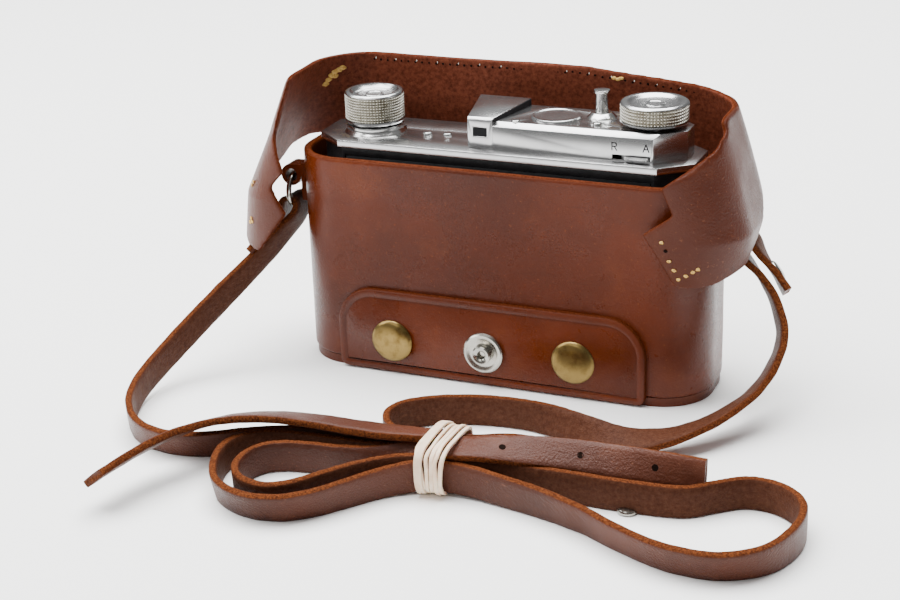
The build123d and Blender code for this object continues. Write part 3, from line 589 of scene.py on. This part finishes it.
def band_loop(x_top, x_low, width, lift, seed):
    """One turn of a rubber band round the tied middle of the strap."""
    steps = 72
    middle_y = -0.0962
    middle_z = 0.0084
    half_y = 0.0127 + lift
    half_z = 0.0078 + lift
    thick = 0.0010
    points = []
    for step in range(steps):
        angle = 2 * math.pi * step / steps
        across = math.cos(angle)
        rise = math.sin(angle)
        flat_across = math.copysign(abs(across) ** 0.55, across)
        flat_rise = math.copysign(abs(rise) ** 0.62, rise)
        share = 0.5 + 0.5 * rise
        x = x_low + (x_top - x_low) * share + 0.0005 * wobble((across, rise, seed), 1.6, seed)
        y = middle_y + half_y * flat_across
        z = max(middle_z + half_z * flat_rise, 0.0008)
        tilt = 0.5 * wobble((rise, across, seed), 1.3, seed + 3)
        out = Vector((0, across / half_y, rise / half_z)).normalized()
        side = (Vector((1, 0, 0)) * math.cos(tilt) + out * math.sin(tilt) * 0.6).normalized()
        wide = width * (1 + 0.14 * wobble((rise, across, seed), 2.1, seed + 7))
        centre = Vector((x, y, z))
        for a, b in ((-0.5, -0.5), (0.5, -0.5), (0.5, 0.5), (-0.5, 0.5)):
            points.append(centre + side * wide * a + out * thick * b)
    piece = mesh_from("band", points, tube_faces(steps, 4, closed=True), [rubber])
    bevel = piece.modifiers.new("bevel", "BEVEL")
    bevel.width = 0.00028
    bevel.segments = 2
    bevel.limit_method = "ANGLE"
    weld(piece)
    return baked(piece)


def make_straps():
    """Both strap pieces, the rubber bands round them, and the metal on them."""
    long_strap, long_line, long_edges = strap_piece("strap_long", LONG_STRAP, 1.0)
    short_strap, short_line, _ = strap_piece("strap_short", SHORT_STRAP, 4.0)
    finish_piece(
        long_strap, "case", "strap_leather",
        "strap_left_run", "strap_hank", "strap_punched_end", "strap_loops",
    )
    finish_piece(short_strap, "case", "strap_leather", "strap_right_run", "strap_plain_end")

    loops = [band_loop(*[value * MM for value in turn], k + 1.0) for k, turn in enumerate(BAND_TURNS)]
    bands = join("rubber_band_turns", loops)
    finish_piece(bands, "case", "rubber_band", "rubber_bands")

    fittings = [
        lathe("rivet_right", RIVET_HEAD, (0.0953, 0.0026, 0.0452), (0.76, 0.27, 0.59), nickel, 48),
        lathe("rivet_left", RIVET_HEAD, (-0.0905, -0.0152, 0.0452), (-0.78, 0.30, 0.52), nickel, 48),
        lathe("snap_button", SNAP_BUTTON, (0.0735, -0.0962, 0.0004), (0, 0, 1), nickel, 48),
    ]
    rivets = join("strap_fittings", fittings)
    finish_piece(rivets, "case", "nickel", "strap_rivets")

    # Each punched hole is a dark disc of painted shade on the strap's end.
    holes = []
    end_points = 94  # points of the line that are on the punched end
    punched_end = range(len(long_line) - end_points, len(long_line))
    for hole_x in (0.0325, 0.0565, 0.0800):
        step = min(punched_end, key=lambda k: abs(long_line[k].x - hole_x))
        ahead = (long_line[step + 1] - long_line[step - 1]).normalized()
        up = (long_edges[step] - ahead * long_edges[step].dot(ahead)).normalized()
        out = ahead.cross(up)
        place = long_line[step] + out * STRAP_THICK / 2
        holes.append(lathe("hole", PUNCHED_HOLE, place, out, painted_hole_shade, 24))
    punched = join("strap_holes", holes)
    finish_piece(punched, "case", "strap_leather")


make_straps()


# ---- leather case ----
CASE_HALF_X = 0.0759
CASE_HALF_Y = 0.0224
CASE_CORNER = 0.018
RAW_RIM_FROM = 0.0780
PATCH_FACE = -0.0246

# The patch's outline, in millimetres.
PATCH_LEFT = -58.0
PATCH_RIGHT = 57.0
PATCH_LOW = 0.6
PATCH_HIGH = 31.5
PATCH_CORNER = 14.0
PATCH_LOW_CORNER = 3.0
PATCH_BACK = -22.3

# The patch's section from its edge inward, as (inset, height) in millimetres.
PATCH_BORDER = [(0.0, 0.0), (0.0, 1.75), (0.45, 2.2), (2.3, 2.2), (2.65, 1.92), (3.05, 1.92), (3.4, 2.2)]

# Sections of the snaps, as (radius, height) in millimetres.
SNAP_CAP = [
    (0, 1.9), (2.5, 1.85), (5.0, 1.62), (6.6, 1.25), (7.4, 0.85), (7.8, 0.35), (7.7, -0.2), (7.0, -0.4),
    (0, -0.4),
]
SNAP_STUD = [
    (0, 1.1), (1.1, 1.1), (1.3, 1.5), (1.5, 2.5), (2.0, 2.9), (2.9, 3.1), (3.4, 2.8), (3.5, 2.3), (3.2, 1.6),
    (3.2, 0.9), (4.6, 0.85), (5.4, 1.0), (6.0, 1.25), (6.8, 1.3), (7.3, 0.9), (7.5, 0.2), (7.3, -0.3),
    (0, -0.3),
]


def softened(node, name, voxel, smoothing, ripple, rounded=()):
    """A leather part from its CAD shape: rounded edges, a slightly uneven surface."""
    piece = copied(node, name)
    remesh = piece.modifiers.new("remesh", "REMESH")
    remesh.mode = "VOXEL"
    remesh.voxel_size = voxel * MM
    smooth = piece.modifiers.new("smooth", "SMOOTH")
    smooth.factor = 0.5
    smooth.iterations = smoothing
    baked(piece)
    for centre, reach in rounded:
        group = piece.vertex_groups.new(name="rounded")
        for vertex in piece.data.vertices:
            near = 1 - (vertex.co - Vector(centre)).length / reach
            if near > 0:
                group.add([vertex.index], min(1.0, 1.6 * near), "REPLACE")
        ease = piece.modifiers.new("ease", "SMOOTH")
        ease.vertex_group = group.name
        ease.iterations = 60
        baked(piece)
        piece.vertex_groups.clear()
    mesh = piece.data
    mesh.polygons.foreach_set("use_smooth", [True] * len(mesh.polygons))
    places = point_values(mesh, "co")
    normals = point_values(mesh, "normal")
    waves = [wobble(place, 28) * 0.7 + wobble(place, 90, 3.0) * 0.3 for place in places.tolist()]
    shift = np.array(waves)[:, None] * ripple * MM
    mesh.vertices.foreach_set("co", (places + normals * shift).ravel())
    mesh.update()
    return piece, places, normals


def case_outward(places):
    """Outward direction of the case's walls at each place, and how far out from the walls it lies."""
    flat_x = CASE_HALF_X - CASE_CORNER
    flat_y = CASE_HALF_Y - CASE_CORNER
    core_x = np.clip(places[:, 0], -flat_x, flat_x)
    core_y = np.clip(places[:, 1], -flat_y, flat_y)
    away = np.stack([places[:, 0] - core_x, places[:, 1] - core_y], axis=1)
    far = np.linalg.norm(away, axis=1)
    return away / np.maximum(far, 1e-6)[:, None], far - CASE_CORNER


def make_case():
    """The half-case's shell, with its raw rim."""
    shell, places, normals = softened("case_shell", "case_shell_leather", 0.75, 3, 0.22)
    out, depth = case_outward(places)
    facing = (normals[:, :2] * out).sum(axis=1)
    between = (depth > -0.0026) & (depth < -0.0002)
    raw = np.where(between & (np.abs(facing) < 0.6), 1.0, 0.0)
    raw = np.where((places[:, 2] > RAW_RIM_FROM) & (np.abs(facing) < 0.8), 1.0, raw)
    store(shell, "raw", raw)
    store(shell, "inside", np.where(facing < -0.5, 1.0, 0.0))
    shell.data.materials.append(case_leather)
    finish_piece(shell, "case", "case_leather", "case_shell")


def sign_of(value):
    """-1, 0 or 1."""
    return math.copysign(1.0, value) if abs(value) > 1e-6 else 0.0


def patch_outline(inset):
    """The patch's outline pulled in all round, in millimetres."""
    points = []
    for centre_x, centre_z, radius, start in (
        (PATCH_RIGHT - PATCH_CORNER, PATCH_HIGH - PATCH_CORNER, PATCH_CORNER, 0),
        (PATCH_LEFT + PATCH_CORNER, PATCH_HIGH - PATCH_CORNER, PATCH_CORNER, 90),
        (PATCH_LEFT + PATCH_LOW_CORNER, PATCH_LOW + PATCH_LOW_CORNER, PATCH_LOW_CORNER, 180),
        (PATCH_RIGHT - PATCH_LOW_CORNER, PATCH_LOW + PATCH_LOW_CORNER, PATCH_LOW_CORNER, 270),
    ):
        reach = max(radius - inset, 0.02)
        pull = max(inset - radius, 0)
        for step in range(17):
            angle = math.radians(start + 90 * step / 16)
            across = math.cos(angle)
            rise = math.sin(angle)
            x = centre_x + across * reach - pull * sign_of(across)
            z = centre_z + rise * reach - pull * sign_of(rise)
            points.append((x, z))
    return points


def make_patch():
    """The patch on the case's back, with its pressed border."""
    points = []
    raw = []
    for inset, height in PATCH_BORDER:
        for x, z in patch_outline(inset):
            ripple = 0.10 * wobble((x * MM, 0, z * MM), 60, 7.0)
            points.append((x * MM, (PATCH_BACK - height - ripple * (height > 1)) * MM, z * MM))
            raw.append(1.0 if height < 2.0 and inset < 1.0 else 0.0)
    count = len(points) // len(PATCH_BORDER)
    faces = tube_faces(len(PATCH_BORDER), count)
    faces.append(tuple(range(len(points) - count, len(points))))
    patch = mesh_from("snap_patch_leather", points, faces, [case_leather])
    store(patch, "raw", raw)
    weld(patch)
    patch.data.set_sharp_from_angle(angle=math.radians(50))
    finish_piece(patch, "case", "case_leather", "snap_patch")


def make_snaps():
    """The two brass caps and the stud on the patch."""
    caps = [
        lathe("cap_left", SNAP_CAP, (-0.0369, PATCH_FACE, 0.0128), (0, -1, 0), aged_brass, 72),
        lathe("cap_right", SNAP_CAP, (0.0314, PATCH_FACE, 0.0137), (0, -1, 0), aged_brass, 72),
    ]
    finish_piece(join("patch_caps_finished", caps), "case", "nickel", "patch_caps")
    stud = lathe("snap_stud_finished", SNAP_STUD, (-0.0016, PATCH_FACE, 0.0129), (0, -1, 0), nickel, 72)
    finish_piece(stud, "case", "nickel", "snap_stud")


def make_cover_band():
    """The cover's remaining band of leather, with its raw edges."""
    left_shoulder = ((-0.079, -0.0097, 0.104), 0.016)
    right_shoulder = ((0.079, -0.0134, 0.0917), 0.012)
    band, places, normals = softened(
        "cover_band", "cover_band_leather", 0.62, 10, 0.5, (left_shoulder, right_shoulder)
    )
    middle = np.array([-0.002, -0.0005])
    outward = places[:, :2] - middle
    outward[:, 0] *= 0.32
    outward /= np.maximum(np.linalg.norm(outward, axis=1), 1e-6)[:, None]
    facing = (normals[:, :2] * outward).sum(axis=1)
    store(band, "raw", np.clip((0.62 - np.abs(facing)) / 0.2, 0, 1))
    store(band, "inside", np.where(facing < 0, 1.0, 0.0))
    band.data.materials.append(band_leather)
    finish_piece(band, "cover_band", "case_leather", "cover_band")


make_case()
make_patch()
make_snaps()
make_cover_band()


# ---- stitching, old glue and marks on the leather ----
# Sections of the band, in millimetres: height, left and right ends, near and far sides.
BAND_LEVELS = [
    (42.0, -100.0, 87.0, -28.5, 28.0), (62.0, -97.5, 89.6, -28.5, 27.8),
    (84.0, -87.0, 83.2, -28.0, 27.4), (105.0, -78.5, 76.6, -28.0, 26.6),
]


def band_wall(x, z, side):
    """A place on the band's outer surface, in millimetres, and its outward direction. Side -1 is near."""
    for below, above in zip(BAND_LEVELS, BAND_LEVELS[1:]):
        if z <= above[0] or above is BAND_LEVELS[-1]:
            share = (z - below[0]) / (above[0] - below[0])
            left, right, near, far = (a + (b - a) * share for a, b in zip(below[1:], above[1:]))
            break
    corner = 20.0
    centre_y = far - corner if side > 0 else near + corner
    if x > right - corner:
        reach = min(max((x - (right - corner)) / corner, -1.0), 1.0)
    elif x < left + corner:
        reach = max(min((x - (left + corner)) / corner, 1.0), -1.0)
    else:
        reach = 0.0
    out = Vector((reach, side * math.sqrt(1 - reach * reach), 0))
    return Vector((x, centre_y + out.y * corner, z)), out


def blob(name, place, out, size, material, seed, flat=0.35):
    """A small uneven lump that sits on a surface."""
    work = bmesh.new()
    bmesh.ops.create_icosphere(work, subdivisions=2, radius=1.0)
    turn = Vector(out).to_track_quat("Z", "Y").to_matrix()
    for vertex in work.verts:
        spot = vertex.co.copy()
        spot *= 1 + 0.35 * noise.noise(spot * 1.7 + Vector((seed, -seed, seed)))
        spot = Vector((spot.x * size[0], spot.y * size[1], spot.z * flat * min(size)))
        vertex.co = (turn @ spot + Vector(place)) * MM
    mesh = bpy.data.meshes.new(name)
    work.to_mesh(mesh)
    work.free()
    mesh.polygons.foreach_set("use_smooth", [True] * len(mesh.polygons))
    return add_object(name, mesh, [material])


def lumps(places, side, depth, size, seed, flat):
    """Lumps of old thread or glue at places (x, z) on the band, at a depth from its outer surface."""
    out = []
    for k, (x, z) in enumerate(places):
        place, outward = band_wall(x, z, side)
        out.append(blob("lump", place + outward * depth, outward * -side, size, thread, k * seed, flat))
    return out


def make_stitching():
    """Needle holes along the band's upper edge as dark dots of painted shade, tufts of old thread, and
    residue of the lost fittings.
    """
    holes = []
    for k in range(46):
        x = -62 + 124 * k / 45
        top = 105.0 if x < 15 else 105.5 - 4.5 * (x - 15) / 46 if x < 61 else 101 - 1.6 * (x - 61) / 11
        place, out = band_wall(x, top - 2.6 + 0.3 * wobble((x, 0, 0), 0.9), 1)
        inner = place - out * 2.25
        # Each needle hole is a dark dot of painted shade.
        holes.append(blob("hole", inner, -out, (0.42, 0.42), painted_hole_shade, k * 0.7, 0.3))
        if k % 3 == 0:
            tuft = inner + Vector((0.6, 0, 0.5))
            holes.append(blob("tuft", tuft, -out, (0.18, 0.34), white_ink, k * 1.3, 0.5))
    left_glue = [
        (-75.6, 99), (-76.8, 98.4), (-78, 97.2), (-79.2, 95.6), (-74.4, 99.6), (-80.2, 94), (-77.2, 96.8),
    ]
    middle_glue = [(30.5, 101.6), (31.8, 101.3), (33, 101.7)]
    right_glue = [(77.0, 91.2), (77.6, 89.4), (78.2, 87.6), (76.4, 93.0)]
    tail_thread = [
        (63.6, 62.4), (66.2, 56.2), (67.9, 53.2), (69.4, 50.2), (71.9, 51.6), (74, 53), (75.6, 54),
    ]
    left_tail = [(-90.5, 66.5), (-91.4, 65.2), (-91.0, 53.5), (-91.8, 51.8), (-90.4, 52.4)]
    tufts = lumps(left_glue, 1, -2.3, (1.5, 1.0), 2.1, 0.45)
    tufts += lumps(middle_glue, 1, -2.3, (1.0, 0.6), 1.1, 0.5)
    tufts += lumps(right_glue, 1, -2.35, (1.0, 0.8), 3.1, 0.5)
    marks = lumps(tail_thread, -1, 0.1, (0.75, 0.55), 1.9, 0.5)
    place, out = band_wall(64.9, 59.6, -1)
    marks.append(blob("mark", place + out * 0.02, out, (0.7, 0.6), painted_hole_shade, 3.0, 0.3))
    marks += lumps(left_tail, -1, 0.05, (0.9, 0.7), 2.7, 0.35)
    residue = join("band_stitching", holes + tufts + marks)
    finish_piece(residue, "cover_band", "case_leather")


make_stitching()


# ---- camera top ----
# Sections of the turned pieces on the camera's top, as (radius, height) in millimetres.
REWIND_KNOB = [
    (0.0, 96.5), (2.8, 96.5), (3.0, 96.7), (3.5, 96.7), (3.7, 96.5), (5.8, 96.55), (6.0, 96.7), (7.6, 96.75),
    (8.5, 97.5), (8.8, 97.95), (9.7, 98.0), (10.2, 97.75), (10.5, 97.3), (10.4, 97.0), (9.86, 96.95),
    (9.86, 88.25), (10.5, 88.2), (10.63, 87.6), (10.3, 87.0), (0.0, 86.9),
]
WIND_KNOB = [
    (0.0, 100.8), (2.6, 100.8), (2.8, 100.95), (3.4, 100.95), (3.6, 100.7), (6.6, 100.75), (7.9, 100.9),
    (8.2, 101.1), (8.9, 101.6), (9.2, 101.8), (10.7, 101.8), (11.3, 101.5), (11.6, 101.1), (11.5, 100.95),
    (10.9, 100.9), (10.9, 95.6), (11.5, 95.55), (11.6, 95.1), (11.3, 94.8), (0.0, 94.8),
]
REWIND_COLLAR = [
    (4.0, 86.5), (9.8, 86.5), (10.25, 86.3), (10.4, 85.9), (10.3, 84.7), (10.7, 84.1), (11.2, 83.7),
    (11.3, 83.5), (4.0, 83.5), (4.0, 86.5),
]
ADJUSTER_CAP = [
    (0, 93.55), (3.0, 93.58), (5.0, 93.5), (7.2, 93.55), (7.5, 93.62), (7.9, 93.82), (8.2, 93.85),
    (8.5, 93.7), (8.6, 93.25), (0, 93.2),
]
REWIND_X = -50.9
WIND_X = 52.5


def make_knob(name, x, profile, radius, low, high, rows, columns, body):
    """A turned knob with a dished top and a knurled side: square pyramids in rows from low to high."""
    turned = lathe(name + "_core", profile, (x * MM, 0, 0), (0, 0, 1), satin_chrome, 128)
    tooth_root = 0.75
    tooth_height = 0.7
    corners = [(-0.5, -0.5, 0), (0.5, -0.5, 0), (0.5, 0.5, 0), (-0.5, 0.5, 0)]
    corners += [(0.26 * across, 0.26 * rise, 1) for across, rise, _ in corners]
    points = []
    faces = []
    pitch = (high - low) / rows
    turn = 2 * math.pi / columns
    for row in range(rows):
        for column in range(columns):
            base = len(points)
            for across, rise, lift in corners:
                angle = turn * (column + 0.5 + across)
                reach = radius - tooth_root + tooth_height * lift
                z = low + pitch * (row + 0.5 + rise)
                points.append(((x + reach * math.cos(angle)) * MM, reach * math.sin(angle) * MM, z * MM))
            faces += block_faces(base)[1:]
    knurl = mesh_from(name + "_knurl", points, faces, [knurl_chrome], smooth=False)
    weld(knurl, 1e-6)
    return finish_piece(join(name + "_finished", [turned, knurl]), body, "bright_chrome", name)


def make_rewind_collar():
    """The collar that the rewind knob sits on."""
    place = (REWIND_X * MM, 0, 0)
    collar = lathe("rewind_collar_finished", REWIND_COLLAR, place, (0, 0, 1), bright_chrome)
    finish_piece(collar, "camera", "bright_chrome", "rewind_collar")


make_knob("rewind_knob", REWIND_X, REWIND_KNOB, 10.63, 88.2, 97.0, 9, 62, "rewind")
make_knob("wind_knob", WIND_X, WIND_KNOB, 11.66, 95.6, 100.9, 5, 66, "wind")
make_rewind_collar()


def stroke_piece(name, strokes, place):
    """Thin inked lines on an upright face: strokes of (x, z) points in millimetres, about a place."""
    width = 0.34
    depth = 0.03
    points = []
    faces = []
    for stroke in strokes:
        for (x0, y0), (x1, y1) in zip(stroke, stroke[1:]):
            along = Vector((x1 - x0, y1 - y0, 0)).normalized()
            side = Vector((-along.y, along.x, 0)) * width / 2
            start = (x0, y0, -0.3 * width)
            end = (x1, y1, 0.3 * width)
            base = len(points)
            for lift in (-depth, depth):
                for (x, y, past), way in ((start, -1), (start, 1), (end, 1), (end, -1)):
                    x += side.x * way + along.x * past
                    y += side.y * way + along.y * past
                    points.append((Vector(place) + Vector((x, -lift, y))) * MM)
            faces += block_faces(base)
    piece = mesh_from(name, points, faces, [ink_and_painted_shade], smooth=False)
    weld(piece, 1e-9)
    return piece


def arc(centre, radius, start, end, steps=10):
    """Points on an arc, in degrees."""
    out = []
    for step in range(steps + 1):
        angle = math.radians(start + (end - start) * step / steps)
        out.append((centre[0] + radius * math.cos(angle), centre[1] + radius * math.sin(angle)))
    return out


def make_letters():
    """The two letters over the selector slot."""
    letter_r = [
        [(-0.85, -1.3), (-0.85, 1.3)],
        [(-0.85, 1.3), (0.1, 1.3)] + arc((0.1, 0.65), 0.65, 90, -90, 8) + [(-0.85, 0.0)],
        [(0.0, 0.0), (0.85, -1.3)],
    ]
    letter_a = [[(-1.0, -1.3), (0.0, 1.3), (1.0, -1.3)], [(-0.62, -0.4), (0.62, -0.4)]]
    cover_back = -12.19
    letters = [
        stroke_piece("letter_r", letter_r, (42.3, cover_back, 88.4)),
        stroke_piece("letter_a", letter_a, (53.2, cover_back, 88.6)),
    ]
    finish_piece(join("selector_letters", letters), "camera", "black_enamel")


def make_selector_knurl():
    """Rows of small bumps on the film selector."""
    dots = []
    for row in range(2):
        for column in range(11):
            place = (46.6 + 0.7 * column + 0.35 * row, -13.78, 84.6 + 0.6 * row)
            dots.append(blob("knurl", place, (0, -1, 0), (0.26, 0.24), satin_chrome, 0.0, 0.9))
    finish_piece(join("selector_knurl", dots), "selector", "satin_chrome")


def make_hood_flank_shade():
    """Painted shade: a thin dark slab on the hood's right flank, where the groove between the viewfinder
    hood and the rangefinder cover lies in shadow.
    """
    flank = [(-1.15, -11.9, 93.32), (3.95, 11.9, 93.32), (3.95, 11.9, 95.55), (-1.15, -11.9, 94.25)]
    flank += [(x + 0.28, y, z - 0.02) for x, y, z in flank]
    points = [Vector(place) * MM for place in flank]
    flank_shade = mesh_from("hood_flank_shade", points, block_faces(0), [ink_and_painted_shade], smooth=False)
    finish_piece(flank_shade, "camera", "black_enamel")


def make_adjuster_cap():
    """The round rangefinder adjuster cap, with two dark dots of painted shade for the holes of a spanner."""
    cap = lathe("adjuster_disc", ADJUSTER_CAP, (0.0174, 0.0009, 0), (0, 0, 1), satin_chrome)
    spanner_hole_shades = []
    # Two dark dots of painted shade stand for the spanner holes.
    for side in (-1, 1):
        place = (17.4 - 0.3 * side, 0.9 + 6.2 * side, 93.56)
        spanner_hole_shades.append(blob("spanner_hole_shade", place, (0, 0, 1), (0.55, 0.55), ink_and_painted_shade, side, 0.12))
    finish_piece(join("adjuster_cap_finished", [cap] + spanner_hole_shades), "camera", "bright_chrome", "adjuster_cap")


make_letters()
make_selector_knurl()
make_hood_flank_shade()
make_adjuster_cap()

# CAD shapes that get broken edges: material, body, slot, and each one's bevel width in millimetres.
FINISHES = [
    (satin_chrome, "camera", "satin_chrome", {
        "top_plate": 0.35, "rangefinder_cover": 0.45, "viewfinder_hood": 0.30, "bottom_plate": 0.35,
        "depth_ring": 0.15, "lens_mount": 0.15,
    }),
    (bright_chrome, "camera", "bright_chrome", {"deck_screws": 0.12, "release_boss": 0.12}),
    (bright_chrome, "release", "bright_chrome", {"release_button": 0.12}),
    (satin_chrome, "selector", "satin_chrome", {"selector_slide": 0.10}),
    (bright_chrome, "focus", "bright_chrome", {"focus_ring": 0.15}),
    (bright_chrome, "aperture", "bright_chrome", {"aperture_ring": 0.12}),
    (bright_chrome, "speed", "bright_chrome", {"speed_ring": 0.12}),
    (bright_chrome, "cocking", "bright_chrome", {"cocking_lever": 0.15}),
    (black_enamel, "lens_unit", "black_enamel", {"front_bezel": 0.20, "shutter_housing": 0.15}),
    (leatherette, "camera", "body_alloy", {"camera_body": 0.30}),
    (leatherette, "camera", "black_enamel", {"back_door": 0.30}),
]
for material, body, slot, widths in FINISHES:
    for node, width in widths.items():
        machined(node, material, body, slot, width)


# ---- lens and release ----
def ring_marks(name, radius, low, high, count, width, rise, material, turn=0.0, span=360.0):
    """Blocks set round the lens axis: ribs of a grip, or lines of a scale. Millimetres and degrees."""
    points = []
    faces = []
    for k in range(count):
        angle = math.radians(turn + span * k / count)
        out = Vector((math.sin(angle), 0, math.cos(angle)))
        side = Vector((math.cos(angle), 0, -math.sin(angle)))
        base = len(points)
        for lift in (-0.3, rise):
            for across, along in ((-1, low), (1, low), (1, high), (-1, high)):
                half = width / 2 * (0.6 if lift > 0 else 1.0)
                spot = Vector((0, along, 40)) + out * (radius + lift) + side * across * half
                points.append(spot * MM)
        faces += block_faces(base)
    piece = mesh_from(name, points, faces, [material], smooth=False)
    weld(piece, 1e-9)
    return piece


def make_lens_marks():
    """Grip ribs on the lens rings and the lines of their scales."""
    for name, radius, low, high, count, width, rise, body in (
        ("focus_grip", 27.0, 19.4, 24.2, 90, 1.1, 0.45, "focus"),
        ("speed_grip", 25.4, 38.7, 40.9, 110, 0.9, 0.35, "speed"),
        ("aperture_grip", 25.9, 31.1, 32.2, 110, 0.9, 0.3, "aperture"),
    ):
        grip = ring_marks(name, radius, low, high, count, width, rise, bright_chrome)
        finish_piece(grip, body, "bright_chrome")
    depth = [
        ring_marks("depth_lines", 26.0, 26.2, 27.8, 13, 0.3, 0.03, ink_and_painted_shade, -48, 104),
        ring_marks("depth_index", 26.0, 26.0, 29.2, 1, 0.5, 0.03, ink_and_painted_shade),
    ]
    finish_piece(join("depth_scale", depth), "camera", "black_enamel")
    bezel = ring_marks("bezel_lines", 24.2, 43.3, 43.62, 9, 0.4, 0.02, white_ink, -60, 120)
    finish_piece(bezel, "lens_unit", "satin_chrome")


make_lens_marks()


def make_release_spring():
    """The release button's return spring, in ground steel, with a mesh of its own."""
    spring = copied("release_spring", "release_spring_coil")
    spring.data.materials.append(ground_steel)
    spring.data.shade_smooth()
    finish_piece(spring, "camera", "steel", "release_spring")
    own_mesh(spring)


make_release_spring()

# The CAD pieces that stay as they are, by material.
PLAIN = [
    (case_leather, ("case_base", "case_insert", "strap_lugs")),
    (nickel, ("strap_ring_left", "strap_ring_right", "case_screw")),
    (black_enamel, ("pressure_plate", "film_gate", "take_up_spool", "iris_blades", "shutter_blades")),
    (turned_brass, ("tripod_bush", "wind_gear", "sprocket_drum", "sprocket_gear")),
    (window_glass_painted_shade, ("finder_eyepiece", "finder_objective", "rangefinder_window", "beam_splitter")),
    (ground_steel, ("wind_shaft", "rewind_sleeve", "rewind_shaft")),
    (coated_glass, ("front_element", "rear_element")),
]
for material, names in PLAIN:
    for name in names:
        mesh = nodes[name].data
        mesh.materials.clear()
        mesh.materials.append(material)


# ---- floor and light ----
def make_set():
    """A pale floor, a large soft light above, a key from the upper left and a fill from the viewer."""
    mesh = bpy.data.meshes.new("floor")
    mesh.from_pydata([(-6, -6, 0), (6, -6, 0), (6, 6, 0), (-6, 6, 0)], [], [(0, 1, 2, 3)])
    floor = add_object("floor", mesh, [])
    shader = Shader("floor")
    shader.set(Base_Color=linear(254, 254, 253), Roughness=0.7, Specular_IOR_Level=0.2)
    mesh.materials.append(shader.material)
    for name, place, target, size, power in (
        ("overhead", (-0.25, 0.25, 1.5), (0, 0, 0), (1.9, 1.5), 118.0),
        ("key", (-1.2, -0.5, 0.9), (0, 0, 0.05), (0.8, 0.9), 13.0),
        ("front", (-0.3, -1.7, 1.2), (0, 0, 0.05), (1.0, 0.8), 7.0),
    ):
        data = bpy.data.lights.new(name, "AREA")
        data.shape = "RECTANGLE"
        data.size, data.size_y = size
        data.energy = power
        light = bpy.data.objects.new(name, data)
        light.location = place
        light.rotation_euler = (Vector(target) - Vector(place)).to_track_quat("-Z", "Y").to_euler()
        bpy.context.scene.collection.objects.link(light)
    world = bpy.data.worlds.new("studio")
    world.use_nodes = True
    world.node_tree.nodes["Background"].inputs[0].default_value = (1.0, 1.0, 1.0, 1.0)
    world.node_tree.nodes["Background"].inputs[1].default_value = 0.22
    bpy.context.scene.world = world


make_set()
